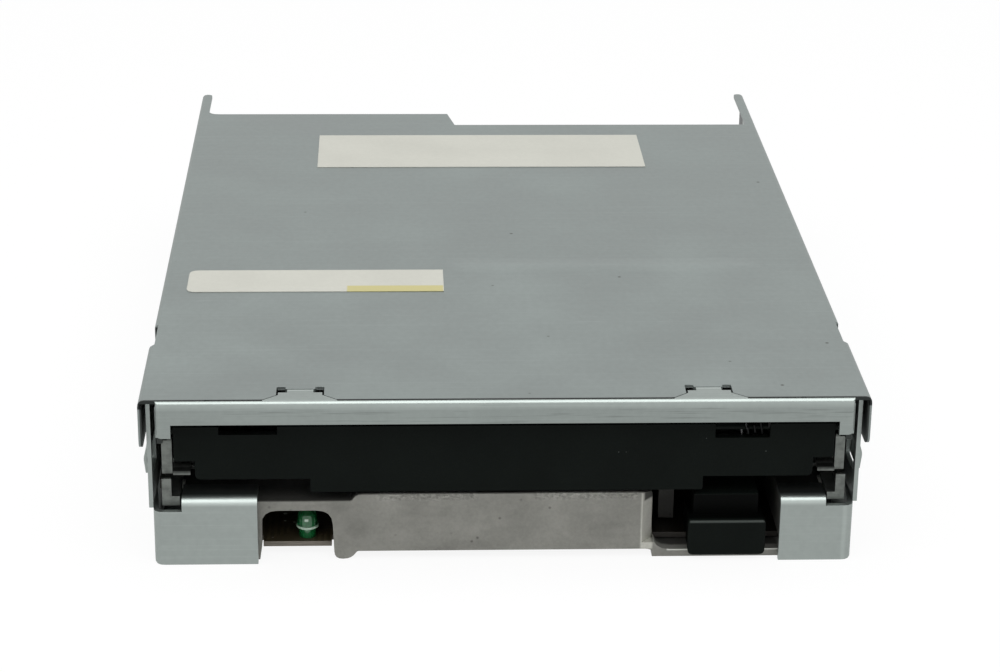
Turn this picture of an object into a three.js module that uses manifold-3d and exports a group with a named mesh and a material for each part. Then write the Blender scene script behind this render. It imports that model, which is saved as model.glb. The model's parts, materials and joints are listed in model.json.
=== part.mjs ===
// Internal drive for 3.5-inch floppy disks, the kind without a front bezel.
// Millimetres. +X is to the right seen from the front, +Y runs to the rear and +Z is up.
// Inside the drive group y is the depth behind the faces of the corner plates, with the lip a little
// in front of them; the group's own place puts the origin under the middle of the drive.

import * as THREE from 'three';
import { mergeVertices } from 'three/addons/utils/BufferGeometryUtils.js';
import Module from 'manifold-3d';

const wasm = await Module();
wasm.setup();

// Overall size
const width = 101.6;
const height = 25.4;
const length = 146;

// Stock and clearances
const sheet = 0.8;
const thinSheet = 0.6;
const wallSheet = 0.6;
const coverSheet = 0.5;
const labelStock = 0.1;
const gap = 0.3;
const slit = 0.25;
const overlap = 0.1;
const lipReach = 1.0;

// Top cover
const coverSideGap = 0.25;
const coverBend = 0.95;
const coverFront = -0.2;
const coverSpread = 0.2;
const coverFlangeHeight = 7.4;
const coverFrontFlange = 20;
const coverNotchLength = 9;
const coverNotchDepth = 0.6;
const coverNotchSlope = 0.6;
const coverFrontCorner = 1.5;
const coverRearCorner = 3;
const earLengthLeft = 12.3;
const earLengthRight = 19;
const coverStepX = -4.7;
const coverStepRun = 1.2;
const earWidth = 1.85;
const earFillet = 2;
const nickX = 41.4;
const nickWidth = 0.9;
const nickDepth = 0.3;
const reliefHoleFront = 2.5;
const reliefHoleRear = 4.5;
const reliefHoleWidth = 1.25;
const reliefHoleCorner = 0.3;
const tongueFold = 3.5;
const tongueFlare = 2.1;
const tongueWaist = 1.6;
const tongueInsets = { left: [18.85, 25.5], right: [25.65, 19.1] };
const tongueFootLength = 3;

// Labels, both bare
const largeLabelHalf = 28.4;
const largeLabelDepths = [101.6, 119.6];
const smallLabelInsets = [3.8, 43];
const smallLabelDepths = [41.5, 50.8];
const labelCorner = 1.5;

// Front lip and the flap under it
const lipSideGap = 0.85;
const lipDrop = 3.4;
const lipBend = 0.54;
const lipEndBend = 0.75;
const lipTabHeight = 2.0;
const lipTabWidth = 2.1;
const lipTabCorner = 0.9;
const lipEarDepth = 5;
const earLug = 1.6;
const flapEndGap = 2.2;
const flapStock = 1.2;
const flapFront = 1.8;
const pivotDrop = 2.1;
const flapPinRadius = 0.6;
const flapClearance = 2.4;
const tongueHeight = 2.05;
const flapTongueInsets = [19.0, 18.4];
const flapShoulderWidth = 2.9;
const flapShoulderHeight = 2.8;
const flapCorner = 0.8;
const flapTongueCorner = 0.4;
const flapShoulderCorner = 0.5;
const flapNotchInsets = { left: [6.3, 14.5], right: [16.9, 9.15] };
const flapNotchDepths = { left: 1.2, right: 2.1 };
const flapBridgeRadius = 0.45;
const flapCoilRadius = 1.0;
const flapCoilTurns = 3;
const flapCoilRun = 3.5;
const flapLegLength = 4;
const fineWire = 0.18;

// Side frames
const frameFlange = 6;
const frameBend = 1.5;
const frameJog = 9;
const plateInset = 0.6;
const plateCorner = 0.9;
const shelfDepth = 5;
const reliefInset = 5.4;
const leftPlate = { inset: 15.95, top: 10.2, bend: 1.5, reliefTop: 8.24 };
const rightPlate = { inset: 11.8, top: 9.8, bend: 1.1, reliefTop: 8.5 };
const padHeight = 5;
const padFront = 21;
const padSpacing = 70;
const padRadius = 4;
const mountHole = 1.25;
const leafFront = 3;
const leafRear = 9;
const leafStock = 0.45;
const leafTop = 17.4;
const leafBottom = 12.8;
const leafBow = 0.7;
const leafLap = 1.4;

// Casting
const deckUnder = 7.6;
const deckStock = 1.4;
const deckCorner = 3;
const castFront = 1.5;
const castWall = 2.5;
const blockInsets = [29.5, 31.5];
const blockTop = 10.0;
const blockBottom = 1.2;
const blockBevel = 1.6;
const footInsets = [26.7, 29.1];
const windowInsets = [16.45, 26.4];
const windowRadius = 2.2;
const archLeg = 2.1;
const archLegTaper = 0.3;
const recessInsets = [29.7, 11.4];
const recessDepth = 17;
const recessStepInset = 26;
const recessStepDepth = 9;
const ledgeTop = 1.1;
const ledgeCurve = 2.5;
const sillRear = 8;
const sillLap = 3;
const footCorner = 1.1;
const footRun = 0.8;
const wallFillet = 0.3;
const blockEndRun = 1.2;
const blockEndFillet = 0.8;
const blockCorner = 1.2;
const blockChamfer = 0.4;
const postWidth = 2.2;
const postDepth = 2;
const postBottom = 2.5;
const postRise = 1.5;
const slotHalves = [20, 12];
const bossRadius = 2.6;
const bossInset = 14.8;
const bossFront = 34;
const bossRearInset = 7;
const footSpots = [32, 104];
const footRadius = 2.2;
const skirtStock = 1.4;
const skirtDrop = 3.2;
const skirtFront = 28;
const pegRadius = 0.8;
const pegRise = 2.8;

// Circuit board and what stands on it
const boardInset = 7.8;
const boardUnder = 1.2;
const boardStock = 0.8;
const boardFront = 5.2;
const boardCorner = 1;
const boardTabGap = 0.12;
const boardTabFront = 3.2;
const screwRadius = 1.2;
const screwHeadRadius = 2.1;
const screwHeadHeight = 0.8;
const screwLength = 5;
const chipHeight = 1.6;
const controllerSize = [12, 12];
const controllerInset = 28.8;
const driverSize = [9, 6];
const driverInset = 24.8;
const driverReach = 37;
const capacitorRadius = 3;
const capacitorInset = 20.8;
const capacitorReach = 35;
const lampInset = 22.8;
const lampSetBack = 2;
const lampStem = 1.25;
const lampRadius = 1.42;
const lampFlange = 1.6;
const lampFlangeStock = 0.4;
const lampLift = 1.5;
const lampBody = 0.9;
const headerInset = 8.8;
const headerMargin = 0.9;
const headerPinPitch = 2.54;
const headerPins = 17;
const headerPinHalf = 0.32;
const headerBody = 3;
const headerSetBack = 4;
const headerHeight = 6.4;
const powerInsets = [18.8, 29.8];
const powerHeight = 6.4;
const powerWall = 0.8;
const powerFloor = 1;
const powerBack = 2;
const powerSetBack = 6;
const powerPinPitch = 2.5;
const powerPinHalves = [0.4, 0.3];
const powerPinInset = 1.5;
const connectorReach = 5.5;

// Disk holder and eject slider
const discDrop = 2.7;
const discStock = 3.3;
const discClearance = 0.4;
const holderLipTop = 14.7;
const holderLipWidth = 2.6;
const holderFront = 2.6;
const holderFold = [0.85, 0.75];
const holderReach = 46;
const leadInFront = 1.2;
const leadInDrop = 0.7;
const leadInRun = 1.4;
const leadInUnderRun = 1.8;
const leadInEnd = 2;
const leadInInset = 0.2;
const holderLipSetBack = 1.5;
const holderSlope = 2;
const holderCorner = 0.55;
const ribSetBacks = [8, 6];
const headSlotHalf = 8.5;
const headSlotReach = 13;
const ribInner = 22;
const ribWidth = 2.5;
const ribRise = 0.5;
const fingerNotchSides = [3, 16];
const fingerNotchReach = 12.5;
const camPinRadius = 0.8;
const camPinLift = 2.4;
const camPinDepths = [20, 80];
const camClearance = 0.35;
const slotMargin = 0.75;
const sliderTravel = 4.5;
const sliderSideGap = 1.25;
const sliderFront = 1.6;
const sliderFold = 0.75;
const sliderReach = 43;
const sliderLeftOver = 6;
const sliderFloor = 5.7;
const sliderFrontTop = 12.6;
const sliderLowTop = 10.0;
const sliderStep = 16.5;
const sliderBar = 5;
const sliderFrontFloor = 12;
const armInset = 23.8;
const armDepths = [11.5, 17];
const springInset = 10.8;
const springPeg = 56;
const springTab = 75;
const springTabHalf = 1.4;
const springTabHeight = 2.4;
const springWire = 0.25;
const springRadius = 1.1;
const springTurns = 9;
const catchHeight = 2.9;
const catchOverhang = 0.8;

// Eject button
const buttonInsets = [24.8, 13.8];
const buttonHeights = [0.95, 6.2];
const buttonCorners = [0.8, 0.5];
const buttonFace = 1.2;
const buttonDepth = 8;
const buttonShoulder = 0.2;
const stemInset = 0.9;
const stemFront = 2.5;
const clipInsets = [22.2, 17.6];
const clipDepths = [12.6, 15.4];
const clipRise = 2;

// Spindle
const spindleDepth = 49;
const hubRadius = 12.5;
const hubTop = 12.3;
const hubBottom = 9.6;
const hubStock = 1.0;
const hubRim = 2.5;
const hubPost = 2.0;
const hubPostRise = 1.1;
const hubFoot = 1.2;
const hubEdge = 0.5;
const drivePinAt = 8.2;
const drivePinRadius = 1;
const drivePinRise = 0.9;
const shaftRadius = 1.5;
const bearingRadius = 5.0;
const rotorRadius = 24;
const rotorBottom = 3.2;
const rotorTop = 7.2;
const rotorWall = 1.5;
const rotorRoof = 0.8;
const magnetStock = 1.5;
const statorRadius = 19.4;
const statorHub = [6, 9.4];
const statorLimb = 1;
const statorWinding = [9, 2];
const statorShoe = [1.2, 4.4];
const statorTeeth = 9;
const statorLift = 1;
const statorLimbInset = 0.6;
const statorShoeInset = 0.4;
const statorSleeve = 2;
const windingEnd = 2.5;

// Head carriage, by its reach behind the spindle
const headReach = 39.5;
const carriageReach = 33;
const carriageLength = 34.4;
const carriagePost = 1.5;
const carriagePostDepth = 4.6;
const fingerAt = 22;
const fingerStock = 3;
const flagAt = 24;
const flagX = [-6.4, -5.4];
const flagLift = 2.2;
const sleeveSetBack = 8;
const fingerRise = 0.6;
const carriagePostRise = 0.9;
const bedNotch = 5;
const slotReaches = [15, 69.5];
const rodX = -14;
const rodHeight = 9.2;
const rodRadius = 1.5;
const rodReaches = [11.6, 73];
const sleeveStock = 1;
const clampHalf = 5;
const clampLug = 2.5;
const clampRoof = 0.8;
const clampFoot = 1;
const screwX = 14.5;
const screwHeight = 10.6;
const leadRadius = 1.2;
const leadReach = 35.4;
const threadPitch = 3.1;
const threadWidth = 0.7;
const threadDepth = 0.25;
const threadMargins = [5, 3];
const bearingReach = [2.2, 1.4];
const bearingRise = 1;
const bearingHalf = 2.4;
const hingeReach = 65;
const hingeHeight = 17;
const hingePin = 0.8;
const armHalf = 7.2;
const armNeck = 4.5;
const armNose = 5.5;
const armStock = 1.0;
const armLift = 11;
const headHalf = 4;
const headPadHalf = 2;
const lowerPadHalf = 2.4;
const lowerBase = 2.4;
const lowerPadRise = 3.2;
const upperBase = 1;
const upperPadDrop = 2;
const upperBaseInset = 0.5;
const armNoseCorner = 1.5;
const armTaper = [5, 9];
const stiffenerInsets = [10, 2];
const motorRadius = 7.3;
const motorLength = 12.3;
const motorStep = 1.2;
const motorStepLength = 1;
const bracketReach = 70;
const bracketStock = 1.2;
const bracketHalf = 12.5;
const bracketFoot = 7;
const bracketRise = 0.6;
const bracketShoulder = 4;
const bracketTopHalf = 8;
const bracketCorners = [1, 2];
const bracketFootStock = 1;
const motorRearGap = 2.5;
const deckRearInset = 1.5;
const frameOverhang = 3;

// Trigger lever, the two sensing switches and the track sensor
const triggerInset = 20.8;
const triggerReach = 51;
const triggerPost = 1.4;
const triggerHub = 3.2;
const triggerSwing = 25.8;
const triggerArm = 10;
const triggerArmStock = 1.6;
const triggerCoilGap = 0.5;
const triggerCoilRise = 1.6;
const triggerCoilTurns = 2;
const fingerReach = [9.5, -8.5];
const fingerDrop = 1;
const leverFinger = 2.4;
const leverWidth = 2.4;
const switchInset = 12.8;
const switchDepth = 22;
const switchHalf = 3;
const plungerRadius = 0.9;
const plungerTop = 12.9;
const plungerTip = 0.5;
const plungerTravel = 1.0;
const sensorHalf = 3;
const sensorSlotHalf = 1.1;
const sensorFloor = 1.4;
const sensorMargin = 1.5;

// Heights and widths that follow from the sizes above
const halfWidth = width / 2;
const fromLeft = (inset) => inset - halfWidth;
const fromRight = (inset) => halfWidth - inset;
const rearTip = length - lipReach;
const coverTop = height - labelStock;
const coverUnder = coverTop - coverSheet;
const coverNotchEnd = coverFrontFlange + coverNotchLength;
const tongues = { left: tongueInsets.left.map(fromLeft), right: tongueInsets.right.map(fromRight) };
const frameOuter = halfWidth - coverSheet - coverSideGap;
const frameInner = frameOuter - wallSheet;
const frameTop = coverUnder - gap;
const plateOuter = frameOuter - plateInset;
const relief = halfWidth - reliefInset;
const sliderOuter = frameInner - sliderSideGap;
const sliderInner = sliderOuter - thinSheet;
const holderOuter = sliderInner - gap;
const holderInner = holderOuter - thinSheet;
const lipHalf = frameInner - lipSideGap;
const lipBottom = coverTop - lipDrop;
const tabBottom = lipBottom - lipTabHeight;
const earOuter = lipHalf;
const earInner = earOuter - sheet;
const lugBottom = lipBottom - pivotDrop - flapPinRadius - sheet;
const pivotHeight = lipBottom - pivotDrop;
const flapHalf = lipHalf - flapEndGap;
const flapBack = flapFront + flapStock;
const flapMiddle = flapFront + flapStock / 2;
const flapTop = pivotHeight + flapPinRadius;
const flapBottom = blockTop + flapClearance;
const flapTongue = [flapTongueInsets[0] - flapHalf, flapHalf - flapTongueInsets[1]];
const flapShoulder = flapHalf - flapShoulderWidth;
const flapNotches = {
  left: flapNotchInsets.left.map((inset) => inset - flapHalf),
  right: flapNotchInsets.right.map((inset) => flapHalf - inset),
};
const deckTop = deckUnder + deckStock;
const footX = frameOuter - frameFlange + footRadius;
const boardTop = boardUnder + boardStock;
const boardHalf = halfWidth - boardInset;
const screwHole = screwRadius + gap / 2;
const blockSpan = [fromLeft(blockInsets[0]), fromRight(blockInsets[1])];
const footSpan = footInsets.map(fromLeft).sort((a, b) => a - b);
const windowSpan = windowInsets.map(fromLeft);
const windowTab = [windowSpan[0] + boardTabGap, windowSpan[1] - boardTabGap];
const recessSpan = recessInsets.map(fromRight);
const buttonSpan = buttonInsets.map(fromRight);
const clipSpan = clipInsets.map(fromRight);
const sliderUnder = deckTop + gap;
const sliderFloorTop = sliderUnder + thinSheet;
const sliderFloorInner = sliderOuter - sliderFloor;
const springX = halfWidth - springInset;
const lipUnder = holderLipTop - thinSheet;
const plateUnder = holderLipTop + discStock + discClearance;
const plateTop = plateUnder + thinSheet;
const flapReach = pivotHeight - flapBottom + tongueHeight + flapStock / 2;
const plateFront = flapMiddle + flapReach + 2 * gap;
const pinHeight = lipUnder + camPinLift;
const camHalf = camPinRadius + camClearance;
const sliderTop = pinHeight + camHalf + slotMargin;
const bearingGap = shaftRadius + gap;
const rotorUnder = rotorTop - rotorRoof;

// Depths that follow the spindle
const headDepth = spindleDepth + headReach;
const carriageFront = spindleDepth + carriageReach;
const carriageRear = carriageFront + carriageLength;
const slotDepths = slotReaches.map((reach) => spindleDepth + reach);
const rodDepths = rodReaches.map((reach) => spindleDepth + reach);
const leadFront = spindleDepth + leadReach;
const hingeDepth = spindleDepth + hingeReach;
const bracketDepth = spindleDepth + bracketReach;
const motorFront = bracketDepth + bracketStock;
const motorRear = motorFront + motorLength;
const holderRear = spindleDepth + holderReach;
const triggerAt = [fromLeft(triggerInset), spindleDepth + triggerReach];
const switchX = halfWidth - switchInset;
const sensorX = (flagX[0] + flagX[1]) / 2;
const deckRear = motorRear - deckRearInset;
const frameLength = deckRear + frameOverhang;
const headerFront = motorRear + motorRearGap;
const boardRear = headerFront + headerSetBack;
const connectorRear = boardRear + connectorReach;
const bossSpots = [bossFront, deckRear - bossRearInset].map(
  (depth) => [halfWidth - bossInset, depth]);

// Finishes
const finishes = {
  galvanised: { color: 0x8f9693, roughness: 0.55, metalness: 0.75 },
  spring: { color: 0xb9bcbb, roughness: 0.35, metalness: 0.9 },
  casting: { color: 0x808079, roughness: 0.7, metalness: 0.6 },
  black: { color: 0x121614, roughness: 0.5, metalness: 0 },
  board: { color: 0x24402c, roughness: 0.6, metalness: 0 },
  chip: { color: 0x1a1a1c, roughness: 0.6, metalness: 0 },
  can: { color: 0xa8abad, roughness: 0.35, metalness: 0.8 },
  brass: { color: 0xb08d4e, roughness: 0.35, metalness: 0.9 },
  polished: { color: 0xc9cbcc, roughness: 0.2, metalness: 1 },
  nylon: { color: 0xd9d6cb, roughness: 0.5, metalness: 0 },
  lamp: { color: 0x2c7a4b, roughness: 0.15, metalness: 0 },
  magnet: { color: 0x2b2928, roughness: 0.7, metalness: 0.1 },
  paper: { color: 0xcdcdc3, roughness: 0.8, metalness: 0 },
};

const drive = new THREE.Group();
drive.position.set(0, lipReach - length / 2, 0);

// A closed geometry as a solid, with its corners on a fine grid so that faces that meet are equal.
function solidOf(geometry) {
  const finest = 1e4;
  geometry.deleteAttribute('normal');
  geometry.deleteAttribute('uv');
  const merged = mergeVertices(geometry, 1e-4);
  return new wasm.Manifold(new wasm.Mesh({
    numProp: 3,
    vertProperties: Float32Array.from(merged.attributes.position.array,
      (v) => Math.round(v * finest) / finest),
    triVerts: Uint32Array.from(merged.index.array),
  }));
}

function block(xs, ys, zs) {
  const spans = [xs, ys, zs];
  const sizes = spans.map(([from, to]) => Math.abs(to - from));
  const middles = spans.map(([from, to]) => (from + to) / 2);
  return solidOf(new THREE.BoxGeometry(...sizes).translate(...middles));
}

// An outline run along one axis. It is drawn in y, z for a run along x, and in x, z for one along y.
function extruded(axis, shape, ends) {
  const [from, to] = [Math.min(...ends), Math.max(...ends)];
  const columns = {
    x: [[0, 1, 0], [0, 0, 1], [1, 0, 0]],
    y: [[1, 0, 0], [0, 0, 1], [0, -1, 0]],
    z: [[1, 0, 0], [0, 1, 0], [0, 0, 1]],
  }[axis].map((column) => new THREE.Vector3(...column));
  const options = { depth: to - from, bevelEnabled: false, curveSegments: 4 };
  const geometry = new THREE.ExtrudeGeometry(shape, options);
  geometry.translate(0, 0, axis === 'y' ? -to : from);
  return solidOf(geometry.applyMatrix4(new THREE.Matrix4().makeBasis(...columns)));
}

// Corners given as [u, v], or [u, v, radius] where they are rounded.
function outline(corners) {
  const at = (i) => new THREE.Vector2(...corners[(i + corners.length) % corners.length]);
  const points = corners.flatMap(([, , radius = 0], i) => {
    const corner = at(i);
    if (radius === 0) return [corner];
    const start = at(i - 1).sub(corner).setLength(radius).add(corner);
    const end = at(i + 1).sub(corner).setLength(radius).add(corner);
    return new THREE.QuadraticBezierCurve(start, corner, end).getPoints(4);
  });
  return new THREE.Shape(points.filter((point, i) => point.distanceTo(points.at(i - 1)) > 1e-3));
}

function circle([u, v], radius, sides = 16) {
  const turn = (i) => (2 * Math.PI * (i + 0.5)) / sides;
  return outline(Array.from({ length: sides },
    (_, i) => [u + radius * Math.cos(turn(i)), v + radius * Math.sin(turn(i))]));
}

const rod = (axis, centre, radius, ends, sides) => extruded(axis, circle(centre, radius, sides), ends);

// A strip of even width with round ends, from one point of the outline's plane to another.
function capsule([u0, v0], [u1, v1], half, sides = 8) {
  const angle = Math.atan2(v1 - v0, u1 - u0);
  const arc = (u, v, start) => Array.from({ length: sides + 1 }, (_, i) => {
    const a = start + (Math.PI * i) / sides;
    return [u + half * Math.cos(a), v + half * Math.sin(a)];
  });
  return outline([...arc(u1, v1, angle - Math.PI / 2), ...arc(u0, v0, angle + Math.PI / 2)]);
}

// A profile of [radius, z] turned about an upright axis.
function turned([x, y], profile, sides = 32) {
  const points = profile.map(([radius, z]) => new THREE.Vector2(radius, z));
  const geometry = new THREE.LatheGeometry(points, sides).rotateX(Math.PI / 2);
  return solidOf(geometry.translate(x, y, 0));
}

const joined = (...solids) => solids.reduce((whole, next) => whole.add(next));
const cut = (solid, ...tools) => tools.reduce((rest, tool) => rest.subtract(tool), solid);

function piece(name, solid, finish, parent = drive) {
  const { vertProperties, triVerts } = solid.getMesh();
  const geometry = new THREE.BufferGeometry();
  geometry.setAttribute('position', new THREE.BufferAttribute(vertProperties, 3));
  geometry.setIndex(new THREE.BufferAttribute(triVerts, 1));
  const mesh = new THREE.Mesh(geometry, new THREE.MeshStandardMaterial(finishes[finish]));
  mesh.name = name;
  parent.add(mesh);
  return mesh;
}

// Wire along a run of points, and the least gap that it keeps to itself.
function wire(name, points, radius, stepsPerPoint = 1) {
  const path = new THREE.CatmullRomCurve3(points, false, 'centripetal');
  const section = circle([0, 0], radius, 5);
  const steps = (points.length - 1) * stepsPerPoint;
  const coil = new THREE.ExtrudeGeometry(section, { steps, extrudePath: path, curveSegments: 1 });
  let least = Infinity;
  points.forEach((a, i) => points.slice(i + 5).forEach((b) => {
    least = Math.min(least, a.distanceTo(b) - 2 * radius);
  }));
  console.log(`${name}: least gap to itself ${least.toFixed(2)} mm`);
  return solidOf(coil);
}

// Points of a coil about an axis: place(angle, run) gives the point for an angle and a share of the run.
function coilPoints(turns, place, perTurn = 8) {
  const count = Math.round(turns * perTurn);
  return Array.from({ length: count + 1 }, (_, i) => place((2 * Math.PI * i) / perTurn, i / count));
}

// Cover: a shallow channel trimmed in plan and from the side, which leaves a front flap and a long
// rear flange with an ear at each side. The lip's tongues lie in its two front cut-outs.
function topCover() {
  const bottom = coverTop - coverFlangeHeight;
  const innerBend = coverBend - coverSheet;
  const rearInner = halfWidth - earWidth;
  const notchSide = halfWidth - coverNotchDepth;
  const tip = earWidth * 0.48;
  const rearLeft = rearTip - earLengthLeft;
  const rearRight = rearTip - earLengthRight;
  const channel = (outer, from, to) => extruded('y', outline([
    [-outer, bottom], [-outer, coverTop, coverBend], [outer, coverTop, coverBend], [outer, bottom],
    [outer - coverSheet, bottom], [outer - coverSheet, coverUnder, innerBend],
    [-outer + coverSheet, coverUnder, innerBend], [-outer + coverSheet, bottom],
  ]), [from, to]);
  const plan = extruded('z', outline([
    [-width, coverFront], [width, coverFront], [width, coverFrontFlange],
    [notchSide, coverFrontFlange + coverNotchSlope], [notchSide, coverNotchEnd - coverNotchSlope],
    [width, coverNotchEnd], [width, length], [halfWidth, rearTip, tip], [rearInner, rearTip, tip],
    [rearInner, rearRight], [coverStepX + coverStepRun / 2, rearRight],
    [coverStepX - coverStepRun / 2, rearLeft], [-rearInner, rearLeft, earFillet],
    [-rearInner, rearTip, tip], [-halfWidth, rearTip, tip], [-width, length],
    [-width, coverNotchEnd], [-notchSide, coverNotchEnd - coverNotchSlope],
    [-notchSide, coverFrontFlange + coverNotchSlope], [-width, coverFrontFlange],
  ]), [bottom - gap, coverTop + gap]);
  const side = extruded('x', outline([
    [coverFront, bottom, coverFrontCorner], [coverFrontFlange, bottom, coverFrontCorner],
    [coverFrontFlange, coverUnder], [coverNotchEnd, coverUnder],
    [coverNotchEnd, bottom, coverRearCorner], [length, bottom, coverRearCorner],
    [length, coverTop + gap], [coverFront, coverTop + gap],
  ]), [-width, width]);
  const nicks = [-nickX, nickX].map((x) => extruded('z', outline([
    [x - nickWidth, coverFront - gap], [x + nickWidth, coverFront - gap], [x, coverFront + nickDepth],
  ]), [coverUnder - gap, coverTop + gap]));
  const body = joined(
    channel(halfWidth + coverSpread, coverFront, coverFrontFlange + gap),
    channel(halfWidth, coverFrontFlange, rearTip),
  );
  return cut(body.intersect(plan).intersect(side), ...Object.values(tongues).map(tongueCut), ...nicks);
}

// Cut-out for one tongue: a trapezoid with a small relief hole in each far corner.
function tongueCut([left, right]) {
  const zs = [coverUnder - gap, coverTop + gap];
  const front = coverFront - gap;
  const flare = extruded('z', outline([
    [left - tongueFlare, front], [right + tongueFlare, front], [right + tongueFlare, coverFront],
    [right, tongueWaist], [right, tongueFold + slit], [left, tongueFold + slit],
    [left, tongueWaist], [left - tongueFlare, coverFront],
  ]), zs);
  const hole = (from, to) => extruded('z', outline([
    [from, reliefHoleFront, reliefHoleCorner], [to, reliefHoleFront, reliefHoleCorner],
    [to, reliefHoleRear, reliefHoleCorner], [from, reliefHoleRear, reliefHoleCorner],
  ]), zs);
  return joined(flare, hole(left, left + reliefHoleWidth), hole(right - reliefHoleWidth, right));
}

function label(span, depths, corner) {
  return extruded('z', outline([
    [span[0], depths[0], corner], [span[1], depths[0]],
    [span[1], depths[1]], [span[0], depths[1], corner],
  ]), [coverTop, coverTop + labelStock]);
}

// Lip across the front: a bar with a round top edge, an end tab and an ear for the flap at each side,
// and two tongues that lie in the cover's cut-outs and fold down under it.
function frontLip() {
  const face = -lipReach;
  const back = face + sheet;
  const tabInner = lipHalf - lipTabWidth;
  const tabTop = lipBottom + overlap;
  const bar = extruded('x', outline([
    [face, lipBottom], [face, coverTop, lipBend], [coverFront - slit, coverTop],
    [coverFront - slit, coverUnder], [back, coverUnder], [back, lipBottom],
  ]), [-lipHalf, lipHalf]);
  const tab = (side) => extruded('y', outline([
    [side * lipHalf, tabBottom, lipTabCorner], [side * lipHalf, tabTop], [side * tabInner, tabTop],
    [side * tabInner, tabBottom],
  ]), [face, back]);
  const ends = extruded('z', outline([
    [-lipHalf, face, lipEndBend], [lipHalf, face, lipEndBend],
    [lipHalf, flapFront], [-lipHalf, flapFront],
  ]), [tabBottom - gap, height]);
  const ear = (side) => {
    const across = [side * earInner, side * earOuter];
    const arm = block(across, [back - sheet / 2, lipEarDepth], [tabBottom, coverUnder - gap]);
    const reach = block([side * tabInner, side * earOuter], [back - sheet / 2, back],
      [tabBottom, lipBottom]);
    const lug = block(across, [flapMiddle - earLug, lipEarDepth], [lugBottom, tabBottom + overlap]);
    const hole = rod('x', [flapMiddle, pivotHeight], flapPinRadius + gap,
      [side * (earInner - gap), side * frameInner], 12);
    return cut(joined(arm, reach, lug), hole);
  };
  const tongue = ([left, right]) => {
    const inner = [left + reliefHoleWidth + slit, right - reliefHoleWidth - slit];
    const outer = [left - tongueFlare + slit, right + tongueFlare - slit];
    const waist = [left + slit, right - slit];
    const footLow = coverUnder - sheet - gap;
    return joined(
      extruded('z', outline([
        [outer[0], face + sheet / 2], [outer[1], face + sheet / 2], [outer[1], coverFront],
        [waist[1], tongueWaist], [waist[1], reliefHoleFront], [inner[1], reliefHoleFront],
        [inner[1], tongueFold], [inner[0], tongueFold], [inner[0], reliefHoleFront],
        [waist[0], reliefHoleFront], [waist[0], tongueWaist], [outer[0], coverFront],
      ]), [coverUnder, coverTop]),
      block(inner, [tongueFold - sheet, tongueFold], [footLow, coverTop]),
      block(inner, [tongueFold - sheet, tongueFold + tongueFootLength], [footLow, coverUnder - gap]),
    );
  };
  const front = joined(bar, tab(-1), tab(1)).intersect(ends);
  return joined(front, ear(-1), ear(1), tongue(tongues.left), tongue(tongues.right));
}

// Side frame: a channel of wall and bottom flange, a corner plate set in from it, with its shelf, two
// mounting pads and a sprung leaf.
function sideFrame(side, plate) {
  const x = (value) => side * value;
  const flangeInner = frameOuter - frameFlange;
  const plateInner = halfWidth - plate.inset;
  const channel = extruded('y', outline([
    [x(flangeInner), 0], [x(frameOuter), 0, frameBend], [x(frameOuter), frameTop],
    [x(frameInner), frameTop], [x(frameInner), sheet, frameBend - sheet], [x(flangeInner), sheet],
  ]), [frameBend, frameLength]);
  const jogRoom = block([x(flangeInner - gap), x(frameOuter + gap)], [0, frameJog],
    [-gap, plate.reliefTop]);
  const corner = extruded('z', outline([
    [x(plateInner), 0], [x(plateOuter), 0, frameBend], [x(plateOuter), frameBend],
    [x(frameOuter), frameJog], [x(frameInner), frameJog], [x(plateOuter - sheet), frameBend + overlap],
    [x(plateOuter - sheet), sheet, frameBend - sheet], [x(plateInner), sheet],
  ]), [0, plate.reliefTop]);
  const round = extruded('y', outline([
    [x(plateInner), 0], [x(plateOuter), 0, plateCorner], [x(frameOuter), frameBend],
    [x(frameOuter), plate.top + gap], [x(plateInner), plate.top + gap],
  ]), [-gap, frameJog + gap]);
  const shelf = extruded('x', outline([
    [0, 0], [0, plate.top, plate.bend], [shelfDepth, plate.top], [shelfDepth, plate.top - sheet],
    [sheet, plate.top - sheet, Math.max(0, plate.bend - sheet)], [sheet, 0],
  ]), [x(plateInner), x(relief)]);

  const pads = [padFront, padFront + padSpacing].map((depth) => [depth, padHeight]);
  const bore = (radius, from, to, sides) => pads.map(
    (spot) => rod('x', spot, radius, [x(from), x(to)], sides));
  const bosses = bore(padRadius, frameInner, halfWidth, 20);
  const hollows = bore(padRadius - sheet, frameInner - gap, halfWidth - sheet, 20);
  const holes = bore(mountHole, frameInner - gap, halfWidth + gap, 16);

  const through = [x(frameInner - gap), x(frameOuter + gap)];
  const window = block(through, [leafFront, leafRear], [leafBottom - gap, leafTop]);
  const bow = frameOuter + leafBow;
  const leafMiddle = (leafTop + leafBottom) / 2;
  const leaf = extruded('y', outline([
    [x(frameInner), leafTop], [x(frameInner), leafTop + sheet], [x(frameOuter), leafTop + sheet],
    [x(frameOuter), leafTop], [x(bow), leafMiddle, leafStock], [x(bow - slit), leafBottom],
    [x(bow - slit - leafStock), leafBottom], [x(bow - leafStock), leafMiddle, leafStock],
  ]), [leafFront + gap, leafRear + leafLap]);
  const cams = camPinDepths.map((depth) => extruded('x',
    capsule([depth, pinHeight - discDrop], [depth, pinHeight], camHalf), through));
  const feet = footSpots.map((depth) => countersink([x(footX), depth], sheet));
  const body = joined(cut(channel, jogRoom, window), corner.intersect(round), shelf, ...bosses, leaf);
  return cut(body, ...hollows, ...holes, ...cams, ...feet);
}

// Conical seat for a flush screw, from the bottom up.
function countersink([x, y], depth) {
  const large = screwHeadRadius + gap / 2;
  return turned([x, y], [
    [0, -gap], [large, -gap], [large, overlap], [screwHole, depth],
    [screwHole, depth + gap], [0, depth + gap],
  ], 16);
}

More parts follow.
